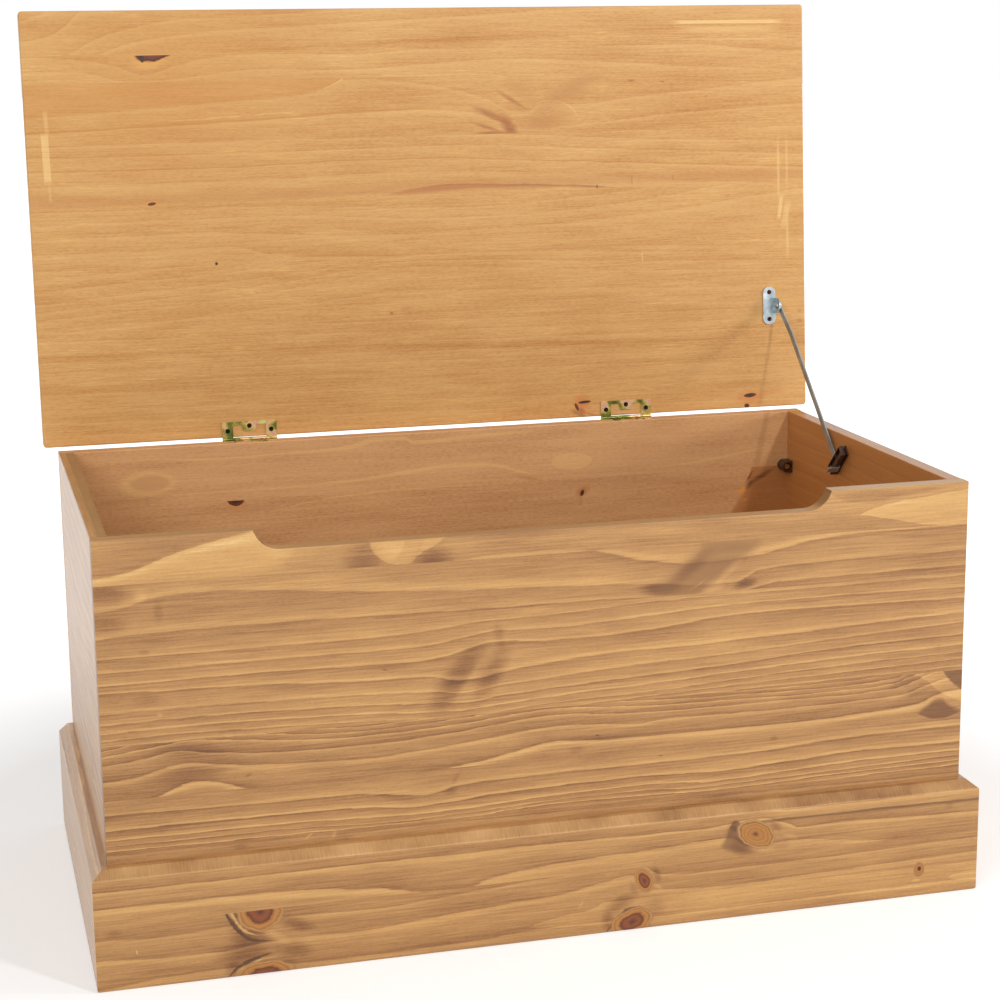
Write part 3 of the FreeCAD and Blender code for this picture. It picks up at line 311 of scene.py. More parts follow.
def pine(name, plane, boards, knots=(), stains=(), bands=(), swells=(), palette=HONEY, flecks=0.0,
         pores=0.5, waviness=26.0, grain=0.75, seam_lean=0.0, gloss=0.0, fine=0.34, edge=None,
         shown=None, seed=0.0):
    """Boards of pine on a plane. Waviness is how far the rings wander. Flecks, pores, grain and fine
    are the amounts of pale flecks, dark pores, long fibres and fine speckle. Shown is the depths at
    which bands and stains are gone and are full, where a panel has them on one side only."""
    graph = material(name)
    along, across, depth = plane(*graph.places())
    flat = graph.vector(along, across)
    seam_height = along * -seam_lean + across
    steps = [graph.math("GREATER_THAN", seam_height, low.top) for low in boards[:-1]]

    def chosen(values):
        """Each board's own value, at its points."""
        total = values[0]
        for step, low, high in zip(steps, values, values[1:]):
            total = graph.math("MULTIPLY_ADD", step, high - low, total)
        return total

    def inside(factor, cut):
        """Keeps a factor between two seams."""
        if cut is None:
            return factor
        above = graph.math("GREATER_THAN", seam_height, cut[0])
        below = graph.math("LESS_THAN", seam_height, cut[1])
        return factor * above * below

    def on_face(factor, cut):
        """Keeps a band or a stain between two seams, and on the side that shows it."""
        factor = inside(factor, cut)
        return factor if shown is None else factor * graph.fade(depth, *shown)

    def streaks(lengthwise, crosswise, layer, detail=2.0, roughness=0.5):
        """Noise with so many waves to a millimetre along and across the grain."""
        place = graph.vector(along * lengthwise, across * crosswise, layer)
        return graph.noise(place, 1.0, detail, roughness)

    # The height in the wood, which the rings follow, wanders away from the board's own height.
    start = chosen([item.start for item in boards])
    height = streaks(0.0022, 0.012, start + seed) * waviness + across
    height = streaks(0.03, 0.4, depth * 0.2 + seed) * 3.2 + height
    height = depth * 0.3 + height
    for item in swells:
        reach = graph.distance(flat, item.centre, item.radii)
        height = graph.fade(reach, 0, 1.6, item.lift, 0.0) + height
    if knots:
        wobble = streaks(0.09, 0.12, seed) * 0.4
    reaches = [graph.distance(flat, item.centre, item.radii, item.tilt) + wobble for item in knots]
    for item, reach in zip(knots, reaches):
        if item.pull:
            force = graph.fade(reach, 0.4, 3.6, item.pull, 0.0)
            height = force * (item.centre[1] - across) + height

    # Rings, counted up from each board's start.
    drawn = [points(line) for item in boards for line in item.lines]
    drawn += [line for item in bands for line in (item.upper, item.lower)]
    heights = [place[1] for line in drawn for place in line] or [0, 1]
    low, high = min(heights) - 5, max(heights) + 5
    share_along = (along + CURVE_END) * (1 / (2 * CURVE_END))
    share_up = (height - low) * (1 / (high - low))
    counts = []
    for item in boards:
        if not item.lines:
            ruler = along * (item.slope / item.pitch) + item.start
            counts.append(graph.math("MULTIPLY_ADD", height, 1 / item.pitch, ruler))
            continue
        curves = [graph.trace(share_along, points(line), low, high) for line in item.lines]
        total = item.start
        for line, lower, upper in zip(item.lines, curves, curves[1:]):
            total = graph.spread(share_up, lower, upper, 0.0, line[0]) + total
        counts.append(total)
    rings = chosen(counts)
    index = graph.math("FLOOR", rings)
    strength = graph.random(graph.vector(index, start, seed)) * 0.6 + 0.55
    ring = graph.level(rings - index, RING_TONES) - RING_MEAN

    # The wood's tone, from 0 to 1: rings, fibres, clouds, pores and speckle.
    fibre = streaks(0.014, 0.5, depth * 0.3, 4.0, 0.7)
    mottle = streaks(0.008, 0.05, start + seed, 3.0)
    speckle = streaks(0.16, 0.75, depth, 2.0, 0.65)
    value = ring * strength * chosen([item.contrast for item in boards])
    value = value + chosen([item.tone for item in boards]) + fibre * grain + mottle * 0.42
    value = value + graph.fade(speckle, 0.09, 0.24, 0.0, -0.3 * pores) + speckle * fine

    # Flecks, bands and stains, and the knots on top.
    uneven = fibre * 1.3 + 1
    tinted = []
    if flecks or any(item.broken for item in bands):
        streak = streaks(0.04, 0.7, depth + seed, 1.0)
    if flecks:
        patch = graph.fade(mottle, -0.05, 0.2)
        tinted.append((graph.fade(streak, 0.1, 0.2) * patch * flecks, FLECK))
    for item in bands:
        upper, lower = (graph.trace(share_along, line, low, high) for line in (item.upper, item.lower))
        factor = graph.fade(upper - share_up, 0, item.soft[0] / (high - low))
        factor = factor * graph.fade(share_up - lower, 0, item.soft[1] / (high - low))
        if item.broken:
            factor = factor * graph.fade(streak, -0.04, 0.08)
        factor = on_face(factor, item.cut)
        if item.tint:
            tinted.append((factor * item.amount * uneven, item.tint))
        else:
            value = factor * item.amount + value
    for item in stains:
        centre, radii = (item.along, item.across), (item.long, item.high)
        reach = graph.distance(flat, centre, radii, item.tilt, item.square)
        factor = on_face(graph.fade(reach, 1 - item.soft, 1, item.amount, 0.0), item.cut)
        if item.tint:
            tinted.append((factor * uneven, item.tint))
        else:
            value = factor + value
    colour = graph.ramp(value, palette)
    for factor, tint in tinted:
        colour = graph.blend(factor, colour, srgb(*tint))
    for item, reach in zip(knots, reaches):
        shade = graph.ramp(speckle * 0.1 + reach * 0.8, item.colours)
        cover = inside(graph.fade(reach, 1.08, 1.26, 1.0, 0.0), item.cut)
        colour = graph.blend(cover, colour, shade)
    if edge is not None:
        colour = edge(graph, along, across, depth, colour)
    graph.bump(fibre, 0.22)
    return graph.surface(
        Base_Color=colour, Roughness=0.42, Specular_IOR_Level=0.5, Coat_Weight=gloss,
        Coat_Roughness=0.22,
    )


def upright_plane(outer_y):
    """Boards that run along X and stand up in Z, such as the front."""
    def plane(x, y, z):
        return x, z, y - outer_y * MM
    return plane


def side_plane(outer_x):
    """Boards that run along Y, such as the sides."""
    def plane(x, y, z):
        return y - FRONT_Y * MM, z, x - outer_x * MM
    return plane


def base_plane(x, y, z):
    """The base: along X and across in Y."""
    return x, y, z


def lid_plane(x, y, z):
    """Along the lid's width, up from its hinged edge, and into it from its underside."""
    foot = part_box("lid_panel")[0]
    lean = math.radians(frame["joints"][0]["range_deg"][1] - 90)
    back = y - foot.y * MM
    rise = z - foot.z * MM
    up = rise * math.cos(lean) + back * math.sin(lean)
    into = back * math.cos(lean) - rise * math.sin(lean)
    return x, up, into


def dress(nodes, finish, bevel=0.0):
    """Gives CAD nodes a material, and rounds their sharp edges by so many millimetres."""
    for node in nodes.split():
        thing = NODES[node]
        thing.data.materials.clear()
        thing.data.materials.append(finish)
        if bevel:
            rounding = thing.modifiers.new("Rounded edges", "BEVEL")
            rounding.width = bevel / MM
            rounding.segments = 2
            rounding.limit_method = "ANGLE"
            rounding.angle_limit = math.radians(35)
            rounding.harden_normals = False
            rounding.use_clamp_overlap = True


# The front panel: six boards.

FRONT_BOARDS = (
    Board(135.5, 0.37, 0.22, 15.0, 0.005, 0.3),
    Board(188.5, 0.46, 0.68, start=20, lines=(
        (-1, 131, 137, (-150, 129), (0, 134), (100, 133), (175, 131), (300, 135)),
        (-1, 137, 142, (-300, 136), (-100, 135.5), (0, 140), (100, 138.5), (175, 136.5), (300, 140)),
        (-1, 142, 148, (-300, 142), (-150, 138), (0, 143.5), (100, 144), (150, 141), (250, 143)),
        (-1, 148, 153, (-300, 148), (-200, 145.5), (-120, 144), (0, 149), (100, 150), (175, 146),
         (250, 149), (350, 153)),
        (-1, 158.5, 163, (-300, 158), (-200, 156.5), (-140, 152), (-50, 158), (100, 159.5),
         (175, 156.5), (250, 160), (350, 164)),
        (-1, 174, 182, (-300, 172), (-200, 171), (-160, 166), (-137, 163), (-100, 169.5), (-50, 172),
         (100, 173), (225, 174), (300, 179)),
        (0, 192, 200, (-200, 190)),
    )),
    Board(242.5, 0.4, 0.6, start=40, lines=(
        (1, 165, 176, (-200, 168)),
        (1, 181, 222, (-405, 186), (-390, 192), (-375, 198), (-362, 200.5), (-350, 200), (-325, 193),
         (-310, 188), (-250, 178), (-170, 183), (-130, 187), (-75, 193), (-25, 202), (5, 206.5),
         (30, 204), (60, 202.5), (150, 202), (250, 201.5), (350, 206), (400, 210), (425, 219)),
        (1, 207.5, 238, (-420, 210), (-385, 218), (-370, 219.5), (-340, 216), (-300, 211),
         (-240, 208.5), (-200, 207), (-100, 213), (-50, 218), (0, 222), (50, 220), (90, 216.5),
         (120, 219), (250, 218), (350, 220), (385, 222), (411, 230), (440, 236)),
        (1, 223, 246, (-410, 228), (-380, 233), (-350, 229), (-300, 223), (-200, 221), (-100, 226),
         (-50, 231), (0, 234), (80, 229), (150, 227), (300, 227), (370, 229), (395, 235), (415, 242)),
        (3, 232, 252, (-400, 239), (-370, 243), (-330, 240), (-250, 232), (-200, 230.5), (-100, 234),
         (-50, 238), (0, 241), (100, 235), (200, 233), (300, 231.5), (370, 234), (395, 241)),
        (0, 250, 262, (-370, 262), (-200, 246), (0, 256), (200, 247), (300, 246)),
    )),
    Board(348.5, 0.5, 0.52, start=60, lines=(
        (-2, 236, 238),
        (-1, 243, 255, (-300, 242), (-200, 239), (-100, 237), (0, 241), (100, 245), (200, 248.5)),
        (-1, 249, 262, (-370, 250), (-300, 248.5), (-150, 243.5), (-100, 241), (-60, 243), (0, 247),
         (100, 249.5), (200, 255), (300, 259)),
        (-1, 256, 270, (-370, 257), (-200, 253), (-100, 248), (-60, 250), (0, 254), (100, 258),
         (200, 263), (300, 267)),
        (-1, 265, 281, (-370, 265.5), (-200, 262), (-120, 258), (-90, 256), (-50, 260), (0, 263),
         (100, 267.5), (200, 272), (300, 278)),
        (-1, 276, 295, (-300, 275), (-200, 273), (-120, 269), (-95, 266), (-50, 271), (0, 274),
         (100, 280), (200, 283), (300, 288)),
        (-1, 296, 306, (-300, 292), (-200, 287), (-130, 286), (-90, 279), (-40, 286), (0, 290),
         (60, 294), (150, 295), (300, 300)),
        (-2, 303, 321, (-300, 304), (-150, 302), (-120, 303), (-90, 310), (-60, 316), (0, 312.5),
         (100, 315), (180, 323), (250, 324)),
        (-1, 330, 346, (-300, 329.5), (-150, 331), (-60, 338.5), (0, 339), (100, 344), (200, 345)),
        (0, 346, 362, (0, 348)),
    )),
    Board(401.5, 0.45, 0.5, start=80, lines=(
        (-1, 335, 338),
        (-1, 349, 357, (-400, 353), (-300, 354), (-100, 351.5), (100, 349.5), (170, 345), (215, 350),
         (235, 354), (300, 355)),
        (-1, 376, 373.5, (-425, 379), (-400, 386), (-355, 390), (-300, 388), (-200, 379), (-100, 372),
         (0, 368), (100, 363), (150, 358), (190, 357), (220, 368), (270, 371)),
        (-1, 415, 400, (-300, 420), (0, 408), (43, 401), (100, 387), (150, 381), (215, 384), (240, 388),
         (275, 395), (350, 399.5)),
        (0, 440, 425),
    )),
    Board(460, 0.5, 0.45, start=100, lines=(
        (1, 378, 378),
        (1, 409, 464, (-430, 411), (-400, 419), (-382, 426), (-340, 437), (-297, 446), (-200, 460)),
        (0, 450, 540, (-300, 490)),
    )),
)
TOP_BOARD = (401.5, 460)
NEXT_BOARD = (348.5, 401.5)
WAVED_BOARD = (188.5, 242.5)
LOWEST_BOARD = (118, 135.5)
SWIRL_WOOD = (136, 93, 54)
KNOT_WOOD = (120, 77, 42)
HALF_KNOT = (
    (-187, 452), (-186, 432), (-180, 414), (-164, 402.5), (-156, 401), (-146, 401), (-137, 409),
    (-120, 418), (-104, 432), (-103, 452),
)
FRONT_BANDS = (
    Band(0.3, ((328, 419), (345, 425), (376, 431), (400, 433), (460, 440)),
         ((328, 419), (345, 415), (376, 409), (404, 403), (460, 398)), cut=TOP_BOARD),
    Band(0.19, ((-187, 452), (-103, 452)), HALF_KNOT, (1, 1.5), TOP_BOARD),
    Band(0.13, ((-187, 452), (-146, 452)),
         ((-187, 452), (-186, 432), (-180, 414), (-166, 403), (-158, 406), (-147, 432), (-146, 452)),
         (1, 7), TOP_BOARD),
    Band(0.07, ((-141, 402), (-134, 418), (-126, 432), (-125, 452), (-103, 452)),
         ((-141, 402), (-137, 409), (-120, 418), (-104, 432), (-103, 452)), (3, 1.5), TOP_BOARD),
    Band(0.15, ((-466, 408), (-430, 411), (-400, 419), (-382, 426), (-340, 437), (-297, 446),
          (-284, 454), (-236, 454)), ((-466, 380), (-330, 380), (-285, 392), (-252, 424), (-236, 454)),
         (1, 26), TOP_BOARD),
    Band(-0.16, ((290, 452), (300, 470), (466, 470)),
         ((290, 452), (300, 437), (345, 428), (376, 433), (404, 436), (466, 443)), (1, 5), TOP_BOARD),
    Band(0.24, ((-110, 400), (-60, 406), (0, 406), (30, 404), (47, 400)), ((-110, 400), (47, 400)),
         (3, 1), TOP_BOARD),
    Band(0.62, ((80, 350), (108, 369), (132, 389), (150, 402), (168, 416), (216, 414), (230, 396)),
         ((80, 350), (106, 340), (142, 336), (164, 349), (184, 363), (206, 377), (230, 396)), (24, 15),
         NEXT_BOARD, SWIRL_WOOD),
    strip(0.4, ((139, 349, 349), (152, 358.5, 356), (170, 367, 367)), (1, 1), NEXT_BOARD),
    Band(0.9, ((396, 200), (410, 210), (424, 217), (436, 209), (456, 199)),
         ((396, 200), (410, 193), (424, 190.5), (434, 191), (456, 199)), (8, 1.8), WAVED_BOARD,
         KNOT_WOOD),
    Band(0.85, ((424, 246), (470, 246)), ((424, 246), (440, 227), (470, 212)), (1, 4), WAVED_BOARD,
         KNOT_WOOD),
    Band(0.2, ((380, 243), (425, 250), (440, 229), (470, 212)),
         ((380, 243), (400, 238), (430, 216), (470, 200)), (2, 3), WAVED_BOARD),
)
FRONT_STAINS = (
    *stains(
        (-285, 414, 80, 32, 0.12), (-190, 410, 30, 28, -0.28), (-122, 404, 28, 18, -0.32),
        (-390, 438, 100, 14, -0.1), (-20, 426, 200, 8, -0.12),
        cut=TOP_BOARD,
    ),
    *stains(
        (146, 376, 38, 11, -0.36, 38), (190, 395, 26, 8, -0.08, -8),
        (-438, 392, 30, 13, -0.22, -6, 0.7), (-405, 391, 9, 10, 0.12, 0, 0.8),
        (-437, 362, 26, 12, -0.16, 0, 0.8), (-390, 373, 7, 16, -0.12, 0, 0.8),
        (114, 357, 32, 10, -0.36, -4, 0.8), (204, 355, 18, 7, -0.36, 12, 0.8),
        (170, 353, 16, 7, 0.14, 10, 0.8), (188, 372, 26, 6, 0.16, 42, 0.8),
        cut=NEXT_BOARD,
    ),
    *stains(
        (-99, 281, 21, 58, -0.38, -38), (-64, 284, 17, 44, -0.32, -32), (-88, 277, 6, 34, 0.1, -34),
        (-56, 322, 8, 20, -0.14, 10), (-102, 178, 4, 14, -0.1, -30), (-108, 164, 10, 7, -0.16),
        (-160, 162, 26, 5, -0.12, -12), (-405, 334, 8, 4, -0.16), (-393, 271, 5, 3, 0.2),
        (-405, 286, 22, 8, -0.12), (-172, 296.5, 5, 0.8, -0.5, -8), (-310, 202, 6, 2.4, -0.16, 20),
        (24, 195, 14, 7, -0.14, 8), (238, 187, 7, 4, -0.16), (46, 208.5, 3, 1.2, -0.4, -10),
        (114, 180, 4, 1, -0.4), (-320, 129, 12, 5, -0.12), (-218, 128, 14, 6, -0.12),
        # The long stain along the bottom edge, at 114 mm, is painted shade where the front meets the
        # plinth.
        (0, 114, 620, 14, -0.16, 0, 0.95), (-470, 240, 330, 240, -0.07, 0, 1.0),
        (400, 290, 260, 120, -0.07, 0, 1.0),
    ),
    *stains(
        (-368, 233, 52, 12, -0.2, -6), (-368, 209, 48, 9, -0.16), (382, 234, 26, 7, -0.16, 16),
        (398, 222, 24, 7, -0.16, 16),
        cut=WAVED_BOARD,
    ),
    *stains((-252, 133, 8, 2, 0.2, 40, 0.8), (-227, 132, 3, 6, 0.18, -20, 0.8), cut=LOWEST_BOARD),
)

# The back panel, whose inside shows over the front.

BACK_BOARDS = (
    Board(180, 0.42, 0.08, 12.0, 0.01, 1.3), Board(378.5, 0.4, 0.06, 14.0, -0.02, 3.9),
    Board(446, 0.48, 0.06, 15.0, 0.02, 6.6),
)
BACK_UPPER = (378.5, 450)
BACK_LOWER = (180, 378.5)
INNER_YELLOW = (240, 192, 122)
# A dark orange-brown knot patch's colour, also used as painted shadow.
KNOT_PATCH_AND_SHADOW = (168, 98, 34)
BACK_KNOTS = (
    Knot((-252, 379), (9.5, 6.5), 0, DARK_KNOT, cut=BACK_LOWER),
    Knot((168, 360.5), (2.3, 3.8), -24, DARK_KNOT),
)
BACK_STAINS = (
    *stains(
        (-352, 405, 38, 17, 0.45, 0, 0.3, INNER_YELLOW),
        (-349, 405, 27, 11, 0.7, 0, 0.35, (206, 152, 102)),
        (155, 400, 27, 11, 0.4, 0, 0.12, INNER_YELLOW),
        (168, 362, 12, 8, 0.75, 30, 0.9, (192, 110, 56)),
        (176, 368, 6, 5, 0.4, 30, 0.9, (214, 140, 70)), (-252, 371, 18, 8, 0.4, 0, 0.9, (204, 132, 76)),
    ),
    *stains(
        (374, 350, 10, 5, 0.8, 55, 0.9, (240, 156, 56)),
        (383, 366, 12, 2.6, 0.8, 60, 0.9, (104, 54, 24)),
        (378, 338, 7, 3, 0.6, 10, 0.9, (226, 148, 60)), (398, 366, 26, 5, 0.6, 28, 0.8, (92, 50, 22)),
        (384, 357, 5, 10, 0.5, -40, 0.8, (96, 52, 24)),
        cut=BACK_LOWER,
    ),
    Stain(100, 383, 22, 4, 0.4, -14, tint=(184, 118, 62)),
)
BACK_BANDS = (
    strip(0.45, ((-400, 383, 383), (-250, 386.5, 383.5), (-170, 387.5, 383), (-100, 391, 386),
           (-50, 397, 391), (0, 401, 395), (50, 399.5, 394), (90, 389, 385), (122, 379, 379)), (1, 2),
          tint=INNER_YELLOW),
    strip(0.4, ((-224, 353, 353), (-200, 362, 360.5), (-150, 370, 368), (-100, 373.5, 371),
           (-50, 375, 373), (0, 372, 370.5), (50, 366, 366)), tint=INNER_YELLOW),
    strip(0.45, ((-440, 426, 426), (-360, 430, 427), (-270, 426, 421), (-180, 428, 423),
           (-120, 431, 424), (-85, 438, 431), (-50, 438, 432), (-40, 432, 426), (60, 436, 430),
           (140, 436, 436)), (1, 3), tint=INNER_YELLOW),
    strip(0.35, ((-100, 380, 380), (0, 383, 381), (130, 386, 386)), cut=BACK_UPPER, tint=INNER_YELLOW),
    strip(0.35, ((195, 379, 379), (300, 384, 380), (380, 396, 392), (440, 404, 404)), (1, 2),
          BACK_UPPER, INNER_YELLOW),
    # The back's lower right corner: an orange-brown knot patch with painted shadow, its left edge
    # following the stay bar's cast shadow.
    Band(0.6, ((350, 300), (366, 334), (381, 356), (398, 392), (440, 392)), ((350, 300), (440, 300)),
         (14, 8), BACK_LOWER, KNOT_PATCH_AND_SHADOW),
)

# The lid's boards, from its hinged edge up. Its underside is what shows with the lid open.

LID_BOARDS = (
    Board(59, 0.5, 0.12, 15.0, 0.02, 1.7),
    Board(131, 0.48, 0.12, 12.0, 0.012, 4.4),
    Board(203, 0.5, 0.15, start=20, lines=(
        (2, 112, 128, (-200, 130), (0, 134)),
        (2, 145, 170, (-300, 157), (-200, 167), (-100, 182), (-50, 191), (0, 190), (200, 178)),
        (3, 163, 190, (-350, 172), (-250, 180), (-150, 190), (-100, 197), (0, 204)),
        (0, 205, 215, (-100, 218)),
    )),
    Board(273, 0.52, 0.15, start=40, lines=(
        (1, 190, 194, (0, 192)),
        (1, 218, 206, (-300, 219), (-240, 220.5), (-220, 217), (-200, 212), (-100, 205), (0, 203)),
        (1, 235, 268, (-300, 238), (-200, 234), (-100, 229), (0, 230), (100, 233), (200, 238),
         (300, 247), (400, 260)),
        (1, 252, 290, (-200, 254), (0, 246), (200, 254)),
        (1, 266, 310, (-200, 266), (0, 258), (200, 268), (300, 280)),
        (0, 285, 340, (0, 280)),
    )),
    Board(341.5, 0.52, 0.18, start=60, lines=(
        (1, 262, 240),
        (1, 295, 273, (-200, 296), (0, 300), (100, 297), (200, 290), (300, 282), (400, 277)),
        (1, 311, 294, (-280, 310), (-100, 315), (0, 315.5), (100, 311), (300, 301)),
        (1, 326, 309, (-200, 326.5), (0, 330), (200, 322)),
        (1, 338, 325, (-200, 341), (0, 344), (100, 340), (300, 330)),
        (0, 352, 345),
    )),
    Board(410, 0.5, 0.17, start=80, lines=(
        (1, 338, 352, (0, 336), (150, 342)),
        (1, 353, 370, (-300, 359), (-200, 364), (-50, 372), (0, 371), (50, 366), (90, 352), (110, 346),
         (200, 352), (300, 361)),
        (1, 371, 400, (-350, 377), (-250, 384), (-150, 392), (-120, 399), (-103, 408), (0, 400),
         (60, 385), (110, 366), (140, 377), (170, 374), (250, 382), (350, 391)),
        (0, 416, 425, (0, 430), (200, 420)),
    )),
    Board(441, 0.54, 0.18, start=100, lines=(
        (1, 398, 396, (-330, 398), (-200, 400)),
        (1, 421, 411, (-400, 420), (-345, 409), (-310, 410), (-250, 417), (-200, 421), (-100, 419),
         (0, 424), (100, 428), (200, 424), (300, 418)),
        (1, 437, 433, (-400, 434), (-355, 424), (-330, 416), (-300, 424), (-260, 434), (-200, 438),
         (-100, 436), (0, 441), (200, 444), (330, 443), (400, 436)),
        (0, 452, 452),
    )),
    Board(500, 0.52, 0.2, start=120, lines=(
        (1, 400, 460, (-300, 436), (-100, 443), (0, 450), (100, 453), (300, 459)),
        (1, 412, 490, (-420, 422), (-375, 441), (-350, 450), (-300, 459), (-250, 464), (-150, 469),
         (0, 476), (100, 482), (200, 487)),
        (1, 426, 505, (-410, 440), (-390, 453), (-340, 469), (-300, 476), (-200, 481), (0, 492)),
        (1, 455, 520, (-430, 462), (-415, 472), (-400, 486), (-360, 500)),
        (0, 478, 540, (-430, 490), (-300, 530)),
    )),
)
STREAK_BOARD = (273, 341.5)
FEATHER_BOARD = (341.5, 410)
KNOT_BOARD = (410, 441)
END_BOARD = (441, 500)
RED_WOOD = (176, 98, 56)
PALE_YELLOW = (240, 194, 112)
SCRAPE = (244, 202, 132)
LID_BANDS = (
    Band(0.3, ((-466, 422), (-97, 422)),
         ((-466, 370), (-350, 377), (-250, 383), (-150, 392), (-120, 399), (-103, 409), (-97, 422)),
         (0.6, 4), FEATHER_BOARD, (208, 140, 66)),
    Band(0.6, ((-160, 393), (-155, 393), (-120, 402), (-104, 411), (-96, 422)),
         ((-160, 393), (-155, 393), (-120, 399.5), (-103, 409), (-96, 422)), (1, 1), FEATHER_BOARD,
         PALE_YELLOW),
    strip(0.5, ((86, 343, 343), (89, 343, 343), (98, 355, 353), (115, 364, 364), (118, 364, 364)),
          (0.6, 0.6), FEATHER_BOARD, PALE_YELLOW),
    strip(0.45, ((112, 372, 372), (115, 372, 372), (138, 379.6, 377.6), (156, 378.6, 376.6),
           (173, 369.4, 366.4), (188, 349, 349), (191, 349, 349)), (0.7, 0.7), FEATHER_BOARD,
          PALE_YELLOW),
    strip(0.7, ((-345, 362, 362), (-270, 366.5, 364), (-200, 371, 369), (-60, 379, 379)), broken=True,
          tint=PALE_YELLOW),
    strip(0.5, ((-466, 356, 353), (-300, 361, 358.5), (-200, 366, 363), (-50, 374, 371),
           (40, 373, 373)), (1.5, 0.6), FEATHER_BOARD, (196, 128, 60)),
    strip(0.5, ((-466, 313, 310.5), (-280, 311.5, 309.5), (-100, 316.5, 314.5), (0, 317, 315),
           (100, 312.5, 310.5), (300, 302.5, 300.5), (460, 295.5, 293)), (1, 1), tint=(192, 126, 60)),
    Band(0.55, ((-62, 272), (-45, 278), (0, 284), (30, 285.5), (100, 283), (200, 278), (250, 272)),
         ((-62, 272), (-20, 273), (60, 277), (200, 274), (250, 272)), (1.2, 5), STREAK_BOARD, RED_WOOD),
    strip(0.4, ((-24, 280, 280), (0, 284.5, 282.5), (30, 285.8, 284), (100, 283.5, 281.5),
           (200, 278.5, 276.5), (250, 272, 272)), cut=STREAK_BOARD, tint=(138, 62, 34)),
    strip(0.3, ((-466, 289, 268), (-300, 287, 270), (-100, 291, 274), (60, 294, 278)), (8, 5),
          STREAK_BOARD, (190, 124, 70)),
    strip(-0.1, ((-460, 108, 96), (-200, 109, 98), (0, 103, 92), (200, 96, 82), (460, 88, 74)), (4, 4)),
    strip(-0.08, ((-300, 441, 441), (0, 455, 447), (300, 457, 457)), (3, 3), END_BOARD),
)
LID_STAINS = (
    *stains(
        (300, 400, 220, 180, -0.06, 0, 1.0), (246, 401, 7, 2, -0.3), (285, 399, 4, 1.6, -0.3),
        (340, 381, 3, 1, -0.3),
    ),
    Stain(-300, 400, 250, 190, 0.3, 0, 1.0, tint=(212, 148, 80)),
    *stains(
        (94, 348, 11, 27, 0.75, 32, 0.9, (160, 86, 44)),
        (72, 364, 34, 6, 0.65, -24, 0.9, (164, 94, 48)),
        (97, 381, 28, 4, 0.65, -32, 0.9, (168, 98, 52)),
        (66, 350, 26, 3.4, 0.6, -18, 0.9, (166, 96, 50)),
        (72, 343, 32, 3.4, 0.7, 0, 0.9, (164, 90, 46)),
        (134, 354, 44, 17, 0.5, 10, 0.95, (186, 124, 66)),
        (172, 393, 74, 17, 0.5, 28, 0.95, (190, 132, 76)),
        (108, 392, 34, 14, 0.3, -30, 0.95, (190, 132, 76)),
        cut=FEATHER_BOARD,
    ),
    *stains(
        (-444, 326, 4.6, 30, 0.7, 1, 0.25), (-442, 366, 3.4, 18, 0.4, 3, 0.8),
        (-442, 288, 2, 14, 0.3, 0, 0.8), (434, 246, 3, 17, 0.6, -8, 0.4),
        (441, 236, 5, 22, 0.4, -12, 0.6), (432, 292, 2.2, 44, 0.4, 0, 0.6),
        (443, 300, 2.2, 40, 0.3, 0, 0.7), (443, 212, 2.6, 36, 0.4, 0, 0.8),
        (369, 468.5, 77, 2.4, 0.8, 0, 0.3), (369, 460, 77, 5, 0.4, 0, 0.5),
        tint=SCRAPE, square=True,
    ),
    *stains(
        (380, 448, 90, 1.6, 0.4, 0, 0.8, (240, 200, 136)),
        (255, 192, 1, 11, 0.5, 0, 0.6, (244, 196, 130)),
        (-37, 142, 13, 3, 0.35, 8, 0.9, (186, 116, 56)), (-56, 137, 3, 2.6, 0.6, 0, 0.7, (160, 84, 40)),
        (-190, 138, 2, 9, 0.25, 25, 0.9, (170, 104, 54)),
        (200, 277, 1.3, 3.4, 0.7, 0, 0.6, (92, 44, 28)), (244, 283, 1, 9, 0.4, 0, 0.7, (140, 80, 42)),
        (296, 285, 1.6, 5, 0.3, 0, 0.7, (176, 110, 54)), (176, 18, 10, 3, 0.7, 4, 0.4, (70, 40, 26)),
        (170, 6, 14, 4, 0.5, -28, 0.7, (130, 68, 34)),
    ),
    Stain(-325, 430, 26, 10, 0.6, 6, 0.8, tint=(236, 176, 92), cut=KNOT_BOARD),
    *stains(
        (-329, 272.5, 11, 5, 0.6, 8, 0.9, (226, 160, 80)),
        (175, 19, 15, 13, 0.85, -20, 0.7, (214, 136, 68)), (174, 9, 9, 5, 0.7, -38, 0.8, (170, 92, 48)),
        (186, 4, 12, 2.6, 0.5, -14, 0.8, (178, 104, 56)),
        (392, 14, 26, 12, 0.6, 6, 0.9, (214, 128, 60)), (420, 20, 26, 9, 0.25, 12, 0.9, (206, 130, 64)),
        (458, 106, 7, 4, 0.4, 0, 0.8, (158, 98, 54)), (458, 118, 5, 3, 0.3, 0, 0.8, (158, 98, 54)),
    ),
)
LID_KNOTS = (
    Knot((-316, 441.5), (22, 8.5), 14, BARK_KNOT, cut=(410, 439.6)),
    Knot((-333, 437), (2.6, 6), 16, BLACK_BARK, cut=(410, 439.6)),
    Knot((-329, 272.5), (4.6, 1.8), 8, BARK_KNOT), Knot((-259, 202.5), (1.6, 1.6), 0, DARK_KNOT),
    Knot((178, 19.5), (7, 1.4), 4, BLACK_BARK), Knot((168, 14), (1.8, 5), 24, BARK_KNOT),
    Knot((391, 16.5), (8, 2.4), 4, DARK_KNOT), Knot((387, 4), (3, 2.4), 0, DARK_KNOT),
)

# The plinth's front: two boards, with the slope along its top worked across the grain.

